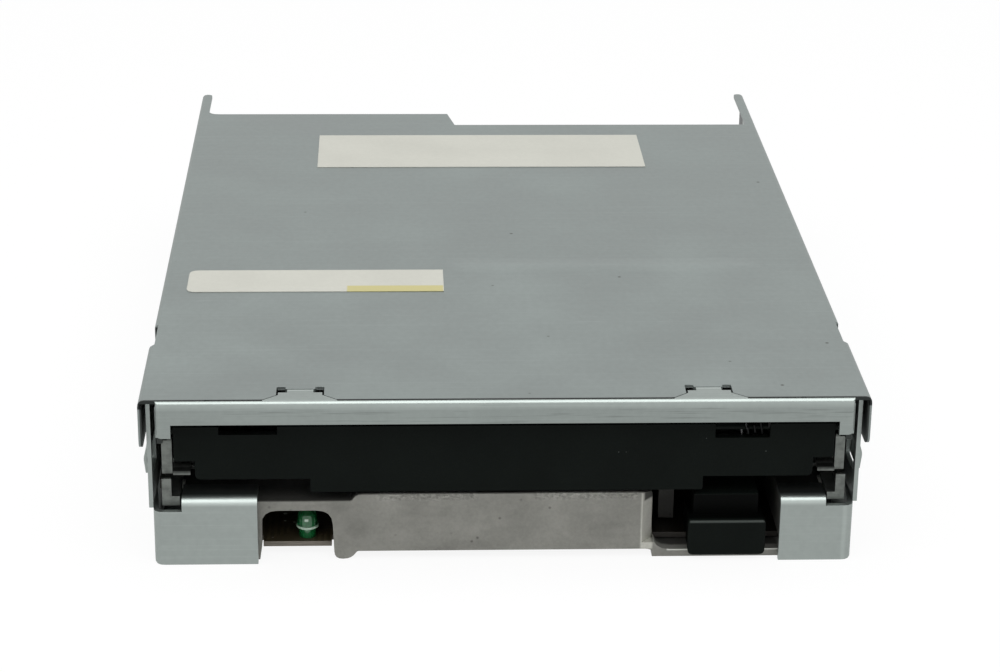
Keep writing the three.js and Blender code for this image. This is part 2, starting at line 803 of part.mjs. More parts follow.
// Casting: a deck with the front block, the lamp arch, the button recess, bosses, feet and posts.
function chassisCasting() {
  const deckHalf = frameInner - gap;
  const cornerDepth = frameJog + gap;
  const [recessLeft, recessRight] = recessSpan;
  const stepX = fromRight(recessStepInset);
  const deck = extruded('z', outline([
    [-deckHalf, cornerDepth], [-relief, cornerDepth], [-relief, castFront], [recessLeft, castFront],
    [recessLeft, recessStepDepth], [stepX, recessStepDepth], [stepX, recessDepth],
    [recessRight, recessDepth], [recessRight, castFront], [relief, castFront],
    [relief, cornerDepth], [deckHalf, cornerDepth],
    [deckHalf, deckRear, deckCorner], [-deckHalf, deckRear, deckCorner],
  ]), [deckUnder, deckTop]);
  const back = castFront + castWall;
  const [windowLeft, windowRight] = windowSpan;
  const [footLeft, footRight] = footSpan;
  const [blockLeft, blockRight] = blockSpan;
  const bevelEnd = blockRight + blockBevel;
  const wall = extruded('y', outline([
    [windowLeft - archLeg, 0], [windowLeft - archLegTaper, 0], [windowLeft, boardTop],
    [windowLeft, deckUnder, windowRadius], [windowRight, deckUnder, windowRadius],
    [footLeft, 0, footCorner], [footRight, 0, footCorner], [footRight + footRun, blockBottom, wallFillet],
    [bevelEnd, blockBottom, blockEndFillet], [bevelEnd + blockEndRun, 0, blockEndFillet],
    [recessRight, 0],
    [recessRight, ledgeTop], [recessLeft, ledgeTop, ledgeCurve], [recessLeft, deckTop],
    [bevelEnd, blockTop - blockChamfer, wallFillet], [blockRight, blockTop],
    [blockLeft, blockTop, blockCorner], [blockLeft - wallFillet, deckTop, wallFillet],
    [windowLeft - archLeg, deckTop],
  ]), [castFront, back]);
  const bevel = extruded('z', outline([
    [blockRight, castFront - gap], [bevelEnd + gap, castFront - gap],
    [bevelEnd + gap, castFront + blockBevel + gap],
  ]), [blockBottom + 1, blockTop + gap]);
  const sill = joined(
    block([recessLeft, recessRight], [castFront, boardFront - gap], [0, ledgeTop]),
    block([recessLeft, recessRight + sillLap], [castFront, sillRear], [0, boardUnder - gap]),
  );
  const recessSides = joined(
    block([blockRight, recessLeft], [castFront + blockBevel, recessDepth], [boardTop + gap, deckTop]),
    block([recessRight, recessRight + skirtStock], [castFront, recessDepth + skirtStock],
      [boardTop + gap, deckTop]),
  );
  const post = block([stepX - postWidth, stepX], [recessStepDepth, recessStepDepth + postDepth],
    [postBottom, deckTop + postRise]);
  const sides = [-1, 1];
  const skirts = sides.map((side) => block([side * (boardHalf - skirtStock), side * boardHalf],
    [skirtFront, deckRear - skirtDrop], [deckUnder - skirtDrop, deckTop]));
  const pillar = (spots, radius, zs, corners) => spots.flatMap(([x, y]) => sides.map(
    (side) => rod('z', [side * x, y], radius, zs, corners)));
  const feet = footSpots.map((y) => [footX, y]);
  const bored = deckUnder - 1;
  const slot = block([-slotHalves[0], slotHalves[1]], slotDepths, [bored, deckTop + gap]);
  const rodRoom = [rodX - rodRadius - gap, rodX + rodRadius + gap];
  const groove = block(rodRoom, [rodDepths[0] - gap, rodDepths[1] + gap], [bored, deckTop + gap]);
  const pocket = block([screwX - motorRadius - gap, screwX + motorRadius + gap],
    [motorFront, deckRear + 1], [bored, deckTop + gap]);
  const bearing = rod('z', [0, spindleDepth], bearingRadius + gap, [bored, deckTop + gap], 32);
  const body = joined(deck, wall, sill, recessSides, post, ...skirts,
    ...pillar(bossSpots, bossRadius, [boardTop, deckTop], 16),
    ...pillar(feet, footRadius, [sheet, deckTop], 16),
    ...pillar([[springX, springPeg]], pegRadius, [deckUnder, deckTop + pegRise], 12),
    rod('z', triggerAt, triggerPost, [deckUnder, plateUnder - gap - overlap], 16));
  return cut(body, bevel, slot, groove, pocket, bearing,
    ...pillar([[switchX, switchDepth]], plungerRadius + gap, [bored, deckTop + gap], 12),
    ...pillar(bossSpots, screwHole, [boardTop - gap, bored], 12),
    ...pillar(feet, screwHole, [sheet - gap, bored], 12));
}

function screwAt([x, y]) {
  const seat = boardUnder;
  const low = seat - screwHeadHeight;
  return turned([x, y], [
    [0, low], [screwHeadRadius - gap, low], [screwHeadRadius, low + gap], [screwHeadRadius, seat],
    [screwRadius, seat], [screwRadius, seat + screwLength], [0, seat + screwLength],
  ], 16);
}

function flushScrewAt([x, y]) {
  const face = overlap;
  return turned([x, y], [
    [0, face], [screwHeadRadius - overlap, face], [screwRadius, sheet],
    [screwRadius, sheet + screwLength], [0, sheet + screwLength],
  ], 16);
}

// Circuit board, with a tab that carries the lamp forwards under the arch.
function circuitBoard() {
  const [tabLeft, tabRight] = windowTab;
  const board = extruded('z', outline([
    [-boardHalf, boardFront, boardCorner], [tabLeft, boardFront], [tabLeft, boardTabFront],
    [tabRight, boardTabFront], [tabRight, boardFront], [boardHalf, boardFront, boardCorner],
    [boardHalf, boardRear, boardCorner], [-boardHalf, boardRear, boardCorner],
  ]), [boardUnder, boardTop]);
  const holes = bossSpots.flatMap(([x, y]) => [-x, x].map(
    (bx) => rod('z', [bx, y], screwHole, [boardUnder - gap, boardTop + gap], 12)));
  return cut(board, ...holes);
}

function chip([x, y], [wide, deep]) {
  const corner = gap;
  return extruded('z', outline([
    [x - wide / 2, y - deep / 2, corner], [x + wide / 2, y - deep / 2, corner],
    [x + wide / 2, y + deep / 2, corner], [x - wide / 2, y + deep / 2, corner],
  ]), [boardTop, boardTop + chipHeight]);
}

// Lamp: a stem on the board, a thin flange and an upright lens with a round top.
function indicatorLamp() {
  const flange = boardTop + lampLift;
  const shoulder = flange + lampFlangeStock + lampBody;
  const dome = [0, 1, 2, 3, 4].map((step) => {
    const angle = (Math.PI / 10) * step;
    return [lampRadius * Math.cos(angle), shoulder + lampRadius * Math.sin(angle)];
  });
  return turned([fromLeft(lampInset), boardTabFront + lampSetBack], [
    [0, boardTop], [lampStem, boardTop], [lampStem, flange], [lampFlange, flange],
    [lampFlange, flange + lampFlangeStock], [lampRadius, flange + lampFlangeStock], ...dome,
    [0, shoulder + lampRadius],
  ], 24);
}

function signalHeader() {
  const right = fromRight(headerInset);
  const half = (headerPins * headerPinPitch) / 2 + headerMargin;
  const middle = right - half;
  const body = block([right - 2 * half, right], [headerFront, headerFront + headerBody],
    [boardTop, boardTop + headerHeight]);
  const pins = [];
  for (let column = 0; column < headerPins; column += 1) {
    const x = middle + (column - (headerPins - 1) / 2) * headerPinPitch;
    for (const row of [-0.5, 0.5]) {
      const z = boardTop + headerHeight / 2 + row * headerPinPitch;
      pins.push(block([x - headerPinHalf, x + headerPinHalf],
        [headerFront + headerBody / 2, connectorRear], [z - headerPinHalf, z + headerPinHalf]));
    }
  }
  return joined(body, ...pins);
}

// Power socket: a shroud open to the rear around four flat pins.
function powerConnector() {
  const [left, right] = powerInsets.map(fromLeft);
  const front = boardRear - powerSetBack;
  const rear = connectorRear - slit;
  const top = boardTop + powerHeight;
  const shell = block([left, right], [front, rear], [boardTop, top]);
  const hollow = block([left + powerWall, right - powerWall], [front + powerBack, rear + gap],
    [boardTop + powerFloor, top - powerWall]);
  const [pinWide, pinHigh] = powerPinHalves;
  const pinZ = boardTop + powerHeight / 2;
  const pins = [-1.5, -0.5, 0.5, 1.5].map((place) => {
    const x = (left + right) / 2 + place * powerPinPitch;
    return block([x - pinWide, x + pinWide], [front + powerBack / 2, rear - powerPinInset],
      [pinZ - pinHigh, pinZ + pinHigh]);
  });
  return joined(cut(shell, hollow), ...pins);
}

// Flap: hangs from two pins, with a centre tongue, two notches along its top and cut lower corners.
function doorFlap() {
  const [tongueLeft, tongueRight] = flapTongue;
  const [leftFrom, leftTo] = flapNotches.left;
  const [rightFrom, rightTo] = flapNotches.right;
  const leftFloor = flapTop - flapNotchDepths.left;
  const rightFloor = flapTop - flapNotchDepths.right;
  const shoulder = flapBottom + flapShoulderHeight;
  const tongueBottom = flapBottom - tongueHeight;
  const panel = extruded('y', outline([
    [tongueLeft, tongueBottom, flapTongueCorner], [tongueRight, tongueBottom, flapTongueCorner],
    [tongueRight, flapBottom], [flapShoulder, flapBottom, flapCorner], [flapShoulder, shoulder],
    [flapHalf, shoulder, flapShoulderCorner], [flapHalf, flapTop], [rightTo, flapTop],
    [rightTo, rightFloor], [rightFrom, rightFloor], [rightFrom, flapTop], [leftTo, flapTop],
    [leftTo, leftFloor], [leftFrom, leftFloor], [leftFrom, flapTop], [-flapHalf, flapTop],
    [-flapHalf, shoulder, flapShoulderCorner], [-flapShoulder, shoulder],
    [-flapShoulder, flapBottom, flapCorner], [tongueLeft, flapBottom],
  ]), [flapFront, flapBack]);
  const pins = [-1, 1].map((side) => rod('x', [flapMiddle, pivotHeight], flapPinRadius,
    [side * (flapHalf - 1), side * (earOuter - overlap)], 12));
  const bridge = rod('x', [flapMiddle, pivotHeight], flapBridgeRadius,
    [rightFrom - gap, rightTo + gap], 10);
  return joined(panel, ...pins, bridge);
}

// Spring in the flap's right notch: a coil round the pivot, one leg down behind the flap and one up
// behind the lip.
function flapSpring() {
  const end = flapNotches.right[1] - gap;
  const start = end - flapCoilRun;
  const point = (angle, share) => new THREE.Vector3(start + flapCoilRun * share,
    flapMiddle + flapCoilRadius * Math.cos(angle), pivotHeight + flapCoilRadius * Math.sin(angle));
  const lower = new THREE.Vector3(start, flapMiddle + flapCoilRadius, pivotHeight - flapLegLength);
  const upper = new THREE.Vector3(end, flapMiddle - flapCoilRadius, lipBottom + lipDrop / 2);
  return wire('flap_spring', [lower, ...coilPoints(flapCoilTurns + 0.5, point), upper], fineWire);
}

// Holder: a sheet channel open at the bottom, with inner lips that carry the disk, slanted lead-ins
// at their front ends and a fold down each front edge.
function diskHolder() {
  const frontTop = pivotHeight - flapPinRadius - 2 * gap;
  const lipInner = holderInner - holderLipWidth;
  const slotFront = spindleDepth + headSlotReach;
  const plate = block([-holderOuter, holderOuter], [plateFront, holderRear], [plateUnder, plateTop]);
  const wall = (side) => extruded('x', outline([
    [holderFront, lipUnder, holderCorner], [holderRear, lipUnder], [holderRear, plateTop],
    [plateFront, plateTop], [plateFront - holderSlope, frontTop, holderCorner],
    [holderFront, frontTop, holderCorner],
  ]), [side * holderInner, side * holderOuter]);
  const fold = (side, reach) => block([side * holderInner, side * (holderOuter + reach)],
    [holderFront, holderFront + thinSheet], [sliderLowTop + discDrop + gap, lugBottom - gap]);
  const lip = (side) => block([side * lipInner, side * holderOuter],
    [holderFront + holderLipSetBack, holderRear], [lipUnder, holderLipTop]);
  const leadIn = (side) => extruded('x', outline([
    [leadInFront, lipUnder - leadInDrop], [holderFront + leadInUnderRun, lipUnder],
    [holderFront + leadInEnd, lipUnder], [holderFront + leadInEnd, holderLipTop],
    [holderFront + leadInRun, holderLipTop], [leadInFront, holderLipTop - leadInDrop],
  ]), [side * lipInner, side * (holderInner - leadInInset)]);
  const slot = block([-headSlotHalf, headSlotHalf], [slotFront, holderRear + 1],
    [plateUnder - gap, plateTop + gap]);
  const notch = block([triggerAt[0] - fingerNotchSides[0], triggerAt[0] + fingerNotchSides[1]],
    [triggerAt[1] - fingerNotchReach, holderRear + 1], [plateUnder - gap, plateTop + gap]);
  const rib = (side) => block([side * ribInner, side * (ribInner + ribWidth)],
    [plateFront + ribSetBacks[0], slotFront - ribSetBacks[1]], [plateTop - overlap, plateTop + ribRise]);
  const sides = [-1, 1].flatMap((side, i) => [
    wall(side), fold(side, holderFold[i]), lip(side), leadIn(side), rib(side),
  ]);
  return cut(joined(plate, ...sides), slot, notch);
}

// Slider: two side plates with slanted cam slots, floor strips on the deck, a cross bar in front of
// the spindle, an arm to the button and a catch in front of the lever.
function ejectSlider() {
  const frontBack = sliderFront + thinSheet;
  const rear = spindleDepth + sliderReach;
  const side = (sign, plate, floorRear) => {
    const x = (value) => sign * value;
    const wall = extruded('x', outline([
      [sliderFront, sliderUnder], [rear, sliderUnder], [rear, sliderTop, 1], [sliderStep, sliderTop, 1],
      [sliderStep, sliderLowTop], [frontBack, sliderLowTop], [frontBack, sliderFrontTop],
      [sliderFront, sliderFrontTop],
    ]), [x(sliderInner), x(sliderOuter)]);
    const foot = block([x(relief + gap), x(sliderOuter)], [sliderFront, floorRear],
      [sliderUnder, sliderFloorTop]);
    const footFold = block([x(relief + gap), x(sliderOuter)], [sliderFront, frontBack],
      [plate.reliefTop + slit, sliderFloorTop]);
    const floor = block([x(sliderFloorInner), x(sliderOuter)], [sliderFrontFloor, floorRear],
      [sliderUnder, sliderFloorTop]);
    const cams = camPinDepths.map((depth) => extruded('x',
      capsule([depth, pinHeight], [depth + sliderTravel, pinHeight - discDrop], camHalf),
      [x(sliderInner - gap), x(sliderOuter + gap)]));
    const fold = block([x(sliderInner - sliderFold), x(sliderInner + overlap)], [sliderFront, frontBack],
      [sliderUnder, sliderFrontTop]);
    const hook = block([x(springX - springTabHalf), x(sliderFloorInner + 1)],
      [springTab, springTab + thinSheet], [sliderUnder, sliderUnder + springTabHeight]);
    return cut(joined(wall, foot, footFold, floor, fold, hook), ...cams);
  };
  const arm = cut(
    block([fromRight(armInset), sliderOuter], armDepths, [sliderUnder, sliderFloorTop]),
    block([clipSpan[0] - gap, clipSpan[1] + gap], [clipDepths[0] - gap, clipDepths[1] + gap],
      [sliderUnder - gap, sliderFloorTop + gap]),
  );
  const start = THREE.MathUtils.degToRad(triggerSwing / 2);
  const catchFront = triggerAt[1] + triggerArm * Math.sin(start) + leverWidth / 2 + 2 * gap;
  const catchTab = block([-sliderFloorInner - 1, triggerAt[0] - triggerArm + catchOverhang],
    [catchFront, catchFront + thinSheet], [sliderUnder, sliderUnder + catchHeight]);
  const barRear = spindleDepth - hubRadius - 2 * gap;
  const bar = block([-sliderOuter, sliderOuter], [barRear - sliderBar, barRear],
    [sliderUnder, sliderFloorTop]);
  const leftRear = triggerAt[1] + sliderLeftOver;
  return joined(side(-1, leftPlate, leftRear), side(1, rightPlate, rear), arm, catchTab, bar);
}

// Button: a rounded cap, a stem and a clip that passes up through the slider's arm.
function ejectButton() {
  const [left, right] = buttonSpan;
  const [low, high] = buttonHeights;
  const [lowCorner, highCorner] = buttonCorners;
  const capSpan = [left + buttonShoulder, right - buttonShoulder];
  const capTop = high - overlap;
  const face = extruded('y', outline([
    [left, low, lowCorner], [right, low, lowCorner], [right, high, highCorner], [left, high, highCorner],
  ]), [0, buttonFace]);
  const cap = joined(
    block(capSpan, [buttonFace - overlap, boardFront - 2 * gap], [ledgeTop + gap, capTop]),
    block(capSpan, [boardFront - 1, buttonDepth], [boardTop + gap, capTop]),
  );
  const stem = block([left + stemInset, right - stemInset], [stemFront, clipDepths[1]],
    [high - buttonShoulder, deckTop + gap]);
  const clip = block(clipSpan, clipDepths, [deckTop, sliderFloorTop + clipRise]);
  const under = block([left, right], [armDepths[0] - gap, clipDepths[1] + 1],
    [deckTop + slit, deckTop + 1]);
  return joined(face, cap, cut(stem, under), clip);
}

function spindleHub() {
  const floor = hubBottom + hubStock;
  const web = floor + thinSheet;
  const rimInner = hubRadius - hubRim;
  const pin = rod('z', [drivePinAt, spindleDepth], drivePinRadius,
    [hubBottom, hubTop + drivePinRise], 12);
  return joined(turned([0, spindleDepth], [
    [0, hubBottom], [hubRadius, hubBottom], [hubRadius, floor], [hubRadius - 2 * hubEdge, hubTop],
    [rimInner, hubTop], [rimInner - hubEdge, web], [hubPost + hubFoot, web], [hubPost, hubTop],
    [hubPost, hubTop + hubPostRise - hubEdge], [hubPost - hubEdge, hubTop + hubPostRise],
    [0, hubTop + hubPostRise],
  ]), pin);
}

function rotorCup() {
  const inner = rotorRadius - rotorWall;
  return turned([0, spindleDepth], [
    [0, rotorUnder], [inner, rotorUnder], [inner, rotorBottom], [rotorRadius, rotorBottom],
    [rotorRadius, rotorTop - gap], [rotorRadius - gap, rotorTop], [0, rotorTop],
  ]);
}

// A plain ring round the spindle.
function ring(inner, outer, from, to) {
  return turned([0, spindleDepth], [[inner, from], [outer, from], [outer, to], [inner, to],
    [inner, from]]);
}

function rotorMagnet() {
  const outer = rotorRadius - rotorWall;
  return ring(outer - magnetStock, outer, rotorBottom + gap, rotorUnder);
}

function statorCore() {
  const low = boardTop + statorLift;
  const high = rotorUnder - 2 * gap;
  const limbTop = high - statorLimbInset;
  const shoeTop = high - statorShoeInset;
  const [windingStart, windingHalf] = statorWinding;
  const [shoeDeep, shoeHalf] = statorShoe;
  const [hubInner, hubOuter] = statorHub;
  const tooth = (index) => {
    const limb = block([hubInner + 1, statorRadius - 1], [-statorLimb, statorLimb],
      [low + statorLimbInset, limbTop]);
    const winding = block([windingStart, statorRadius - windingEnd], [-windingHalf, windingHalf],
      [low, high]);
    const shoe = block([statorRadius - shoeDeep, statorRadius], [-shoeHalf, shoeHalf],
      [low + statorShoeInset, shoeTop]);
    const turn = (360 * index) / statorTeeth;
    return joined(limb, winding, shoe).rotate([0, 0, turn]).translate([0, spindleDepth, 0]);
  };
  return joined(ring(hubInner, hubOuter, low, limbTop),
    ring(hubInner, hubInner + statorSleeve, boardTop, low + overlap),
    ...Array.from({ length: statorTeeth }, (_, i) => tooth(i)));
}

function spindleBearing() {
  return ring(bearingGap, bearingRadius, deckUnder - overlap, deckTop + overlap);
}

// Carriage: a flat bed with a sleeve on the guide rod, a finger to the lead screw, two posts for the
// upper arm and a flag for the track sensor.
function headCarriage() {
  const [front, rear] = [carriageFront, carriageRear];
  const bedTop = deckTop + deckStock;
  const postInner = armHalf + gap;
  const postOuter = postInner + carriagePost;
  const fingerFront = front + fingerAt;
  const flagFront = front + flagAt;
  const along = [rodX, rodHeight];
  const bed = block([rodX, postOuter], [front, rear], [deckTop - sheet, bedTop]);
  const sleeve = rod('y', along, rodRadius + gap + sleeveStock, [front + sleeveSetBack, rear], 20);
  const bore = rod('y', along, rodRadius + gap, [front - gap, rear + gap], 20);
  const finger = block([postOuter - 1, screwX - leadRadius - gap],
    [fingerFront, fingerFront + fingerStock],
    [deckTop + gap, screwHeight + fingerRise]);
  const posts = [-1, 1].map((side) => block([side * postInner, side * postOuter],
    [rear - carriagePostDepth, rear], [deckTop, hingeHeight + hingePin + carriagePostRise]));
  const pinHoles = rod('x', [hingeDepth, hingeHeight], hingePin + gap,
    [-postOuter - 1, postOuter + 1], 12);
  const flag = block(flagX, [flagFront, flagFront + fingerStock], [boardTop + flagLift, deckTop]);
  const relief = block([-armNeck, armNeck], [front - 1, headDepth - bedNotch], [deckTop, bedTop + gap]);
  return cut(joined(bed, sleeve, finger, ...posts, flag), bore, pinHoles, relief);
}

function lowerHead() {
  const bedTop = deckTop + deckStock;
  const padTop = bedTop + lowerPadRise;
  const baseTop = bedTop + lowerBase;
  const base = block([-headHalf, headHalf], [headDepth - headHalf, headDepth + headHalf],
    [bedTop, baseTop]);
  const slider = extruded('x', outline([
    [headDepth - lowerPadHalf, baseTop - overlap], [headDepth + lowerPadHalf, baseTop - overlap],
    [headDepth + lowerPadHalf, padTop, gap], [headDepth - lowerPadHalf, padTop, gap],
  ]), [-headPadHalf, headPadHalf]);
  return joined(base, slider);
}

// Upper arm, drawn lowered about its hinge at the group's origin and carried raised at rest.
function upperArm() {
  const reach = hingeDepth - headDepth;
  const under = -sheet;
  const plate = extruded('z', outline([
    [-armNeck, -reach - armNose, armNoseCorner], [armNeck, -reach - armNose, armNoseCorner],
    [armNeck, -reach + armTaper[0]], [armHalf, -reach + armTaper[1]], [armHalf, 0], [-armHalf, 0],
    [-armHalf, -reach + armTaper[1]], [-armNeck, -reach + armTaper[0]],
  ]), [under, under + armStock]);
  const stiffeners = [-1, 1].map((side) => block([side * (armHalf - sheet), side * armHalf],
    [-reach + stiffenerInsets[0], -stiffenerInsets[1]], [under, 2 * sheet]));
  const barrel = rod('x', [0, 0], hingePin + 1, [-armHalf, armHalf], 16);
  const bore = rod('x', [0, 0], hingePin + gap, [-armHalf - 1, armHalf + 1], 12);
  return cut(joined(plate, barrel, ...stiffeners), bore);
}

function upperHead() {
  const reach = hingeDepth - headDepth;
  const top = -sheet - gap;
  const half = headHalf - upperBaseInset;
  return joined(
    block([-half, half], [-reach - half, -reach + half], [top - upperBase, top]),
    block([-headPadHalf, headPadHalf], [-reach - lowerPadHalf, -reach + lowerPadHalf],
      [top - upperPadDrop, top - overlap]),
  );
}

function rodClamp(ends) {
  const top = rodHeight + rodRadius + gap + clampRoof;
  const plate = block([rodX - clampHalf, rodX + clampHalf], ends, [deckTop, top]);
  const groove = rod('y', [rodX, rodHeight], rodRadius + gap, [ends[0] - 1, ends[1] + 1], 20);
  const below = block([rodX - rodRadius - gap, rodX + rodRadius + gap], [ends[0] - 1, ends[1] + 1],
    [deckTop - 1, rodHeight]);
  const lug = block([rodX - clampHalf - clampLug, rodX - clampHalf], ends,
    [deckTop, deckTop + clampFoot]);
  return joined(cut(plate, groove, below), lug);
}

function leadScrew() {
  const along = [screwX, screwHeight];
  const threadFront = leadFront + threadMargins[0];
  const count = Math.floor((bracketDepth - threadMargins[1] - threadFront) / threadPitch);
  const shaft = rod('y', along, leadRadius, [leadFront, motorFront - gap], 16);
  const groove = (index) => {
    const from = threadFront + index * threadPitch;
    return cut(
      rod('y', along, leadRadius + gap, [from, from + threadWidth], 12),
      rod('y', along, leadRadius - threadDepth, [from - 1, from + threadWidth + 1], 12),
    );
  };
  return cut(shaft, ...Array.from({ length: count }, (_, i) => groove(i)));
}

function motorBracket() {
  const top = screwHeight + motorRadius + bracketRise;
  const shoulder = deckTop + bracketShoulder;
  const [shoulderCorner, topCorner] = bracketCorners;
  const [left, right] = [screwX - bracketHalf, screwX + bracketHalf];
  const plate = extruded('y', outline([
    [left, deckTop], [right, deckTop], [right, shoulder, shoulderCorner],
    [screwX + bracketTopHalf, top, topCorner], [screwX - bracketTopHalf, top, topCorner],
    [left, shoulder, shoulderCorner],
  ]), [bracketDepth, motorFront]);
  const hole = rod('y', [screwX, screwHeight], leadRadius + gap,
    [bracketDepth - 1, motorFront + 1], 16);
  const feet = [-1, 1].map((side) => block(
    [screwX + side * bracketHalf, screwX + side * (motorRadius + 2 * gap)],
    [bracketDepth, bracketDepth + bracketFoot], [deckTop, deckTop + bracketFootStock]));
  return joined(cut(plate, hole), ...feet);
}

function stepperMotor() {
  return joined(
    rod('y', [screwX, screwHeight], motorRadius, [motorFront, motorRear - motorStepLength], 32),
    rod('y', [screwX, screwHeight], motorRadius - motorStep,
      [motorRear - 2 * motorStepLength, motorRear], 32),
  );
}

function screwBearing() {
  const [before, behind] = bearingReach;
  const seat = block([screwX - bearingHalf, screwX + bearingHalf],
    [leadFront - before, leadFront + behind], [deckTop, screwHeight + leadRadius + bearingRise]);
  const bore = rod('y', [screwX, screwHeight], leadRadius + gap, [leadFront - gap, leadFront + 2], 12);
  return cut(seat, bore);
}

// Lever: a hub on the casting's post, a finger in the disk's way and an arm in front of the slider's
// catch.
function triggerLever() {
  const [x, y] = triggerAt;
  const half = leverWidth / 2;
  const low = deckTop + 2 * gap;
  const fingerTop = plateUnder - fingerDrop;
  const fingerLow = fingerTop - leverFinger;
  const armLow = sliderFloorTop + 2 * gap;
  const start = THREE.MathUtils.degToRad(180 - triggerSwing / 2);
  const tip = [x + triggerArm * Math.cos(start), y + triggerArm * Math.sin(start)];
  const hub = rod('z', triggerAt, triggerHub, [low, fingerTop], 20);
  const bore = rod('z', triggerAt, triggerPost + gap, [low - 1, fingerTop + 1], 16);
  const finger = extruded('z', capsule(triggerAt, [x + fingerReach[0], y + fingerReach[1]], half),
    [fingerLow, fingerTop]);
  const arm = extruded('z', capsule(triggerAt, tip, half), [armLow, armLow + triggerArmStock]);
  return cut(joined(hub, finger, arm), bore);
}

function triggerSpring() {
  const radius = triggerHub + gap + triggerCoilGap;
  const low = sliderFloorTop + 2 * gap + triggerArmStock + triggerCoilGap;
  const point = (angle, share) => new THREE.Vector3(
    triggerAt[0] + radius * Math.cos(angle), triggerAt[1] + radius * Math.sin(angle),
    low + triggerCoilRise * share);
  return wire('trigger_spring', coilPoints(triggerCoilTurns, point, 10), fineWire);
}

function sliderSpring(side) {
  const from = springPeg + pegRadius + gap;
  const to = springTab - gap;
  const centre = sliderUnder + springRadius + springWire;
  const point = (angle, share) => new THREE.Vector3(
    side * springX + springRadius * Math.cos(angle),
    from + springWire + (to - from - 2 * springWire) * share,
    centre + springRadius * Math.sin(angle));
  return wire('slider_spring', coilPoints(springTurns, point), springWire);
}

function sensingSwitch(side) {
  const x = side * switchX;
  const bodyTop = deckUnder - gap;
  const body = block([x - switchHalf, x + switchHalf],
    [switchDepth - switchHalf, switchDepth + switchHalf],
    [boardTop, bodyTop]);
  const bore = rod('z', [x, switchDepth], plungerRadius + gap,
    [bodyTop - plungerTravel - 1, bodyTop + 1], 12);
  return cut(body, bore);
}

function plunger(side) {
  const low = deckUnder - 3 * gap;
  return turned([side * switchX, switchDepth], [
    [0, low], [plungerRadius, low], [plungerRadius, plungerTop - plungerTip],
    [plungerRadius - gap, plungerTop], [0, plungerTop],
  ], 12);
}

function trackSensor() {
  const flagFront = carriageFront + flagAt;
  const [from, to] = [flagFront - sensorMargin, flagFront + fingerStock + sensorMargin];
  const body = block([sensorX - sensorHalf, sensorX + sensorHalf], [from, to],
    [boardTop, deckUnder - 2 * gap]);
  const slot = block([sensorX - sensorSlotHalf, sensorX + sensorSlotHalf], [from - 1, to + 1],
    [boardTop + sensorFloor, deckUnder]);
  return cut(body, slot);
}

// Shell and frames
piece('top_cover', topCover(), 'galvanised');
piece('large_label', label([-largeLabelHalf, largeLabelHalf], largeLabelDepths, 0), 'paper');
piece('small_label', label(smallLabelInsets.map(fromLeft), smallLabelDepths, labelCorner), 'paper');
piece('front_lip', frontLip(), 'galvanised');
piece('left_frame', sideFrame(-1, leftPlate), 'galvanised');
piece('right_frame', sideFrame(1, rightPlate), 'galvanised');
piece('chassis_casting', chassisCasting(), 'casting');

// Board and electrical pieces
piece('circuit_board', circuitBoard(), 'board');
const controllerAt = [fromRight(controllerInset), headDepth + controllerSize[1]];
const driverAt = [fromLeft(driverInset), spindleDepth + driverReach];
const capacitorAt = [fromRight(capacitorInset), spindleDepth + capacitorReach];
piece('controller_chip', chip(controllerAt, controllerSize), 'chip');
piece('driver_chip', chip(driverAt, driverSize), 'chip');
piece('capacitor_can', rod('z', capacitorAt, capacitorRadius, [boardTop, deckUnder - 2 * gap], 20),
  'can');
piece('signal_header', signalHeader(), 'chip');
piece('power_connector', powerConnector(), 'nylon');
piece('indicator_lamp', indicatorLamp(), 'lamp');
piece('track_sensor', trackSensor(), 'chip');
piece('write_protect_switch', sensingSwitch(-1), 'black');
piece('density_switch', sensingSwitch(1), 'black');
piece('write_protect_plunger', plunger(-1), 'black');
piece('density_plunger', plunger(1), 'black');

// Loading mechanism
piece('door_flap', doorFlap(), 'black');
piece('flap_spring', flapSpring(), 'spring');
piece('disk_holder', diskHolder(), 'galvanised');
piece('eject_slider', ejectSlider(), 'galvanised');
piece('eject_button', ejectButton(), 'black');
for (const [sideName, side] of [['left', -1], ['right', 1]]) {
  camPinDepths.forEach((depth, index) => {
    const place = ['front', 'rear'][index];
    piece(`cam_pin_${place}_${sideName}`, rod('x', [depth, pinHeight], camPinRadius,
      [side * holderOuter, side * (frameOuter - gap)], 16), 'polished');
  });
  piece(`slider_spring_${sideName}`, sliderSpring(side), 'spring');
}
piece('trigger_lever', triggerLever(), 'black');
piece('trigger_spring', triggerSpring(), 'spring');

// Spindle and its motor
piece('spindle_hub', spindleHub(), 'can');
piece('spindle_shaft', rod('z', [0, spindleDepth], shaftRadius, [rotorTop, hubBottom], 20), 'polished');
piece('spindle_bearing', spindleBearing(), 'brass');
piece('rotor_cup', rotorCup(), 'can');
piece('rotor_magnet', rotorMagnet(), 'magnet');
piece('stator_core', statorCore(), 'brass');

// Head carriage and its drive
piece('guide_rod', rod('y', [rodX, rodHeight], rodRadius, rodDepths, 20), 'polished');
piece('rod_clamp_front', rodClamp([rodDepths[0] + gap, slotDepths[0]]), 'black');
piece('rod_clamp_rear', rodClamp([slotDepths[1], rodDepths[1]]), 'black');
piece('head_carriage', headCarriage(), 'black');
piece('lower_head', lowerHead(), 'nylon');
const pinEnd = armHalf + gap + carriagePost;
piece('arm_hinge_pin', rod('x', [hingeDepth, hingeHeight], hingePin, [-pinEnd, pinEnd], 12), 'polished');
const arm = new THREE.Group();
arm.position.set(0, hingeDepth, hingeHeight);
arm.rotation.x = -THREE.MathUtils.degToRad(armLift);
drive.add(arm);
piece('upper_head_arm', upperArm(), 'black', arm);
piece('upper_head', upperHead(), 'nylon', arm);
piece('lead_screw', leadScrew(), 'brass');
piece('screw_bearing', screwBearing(), 'nylon');
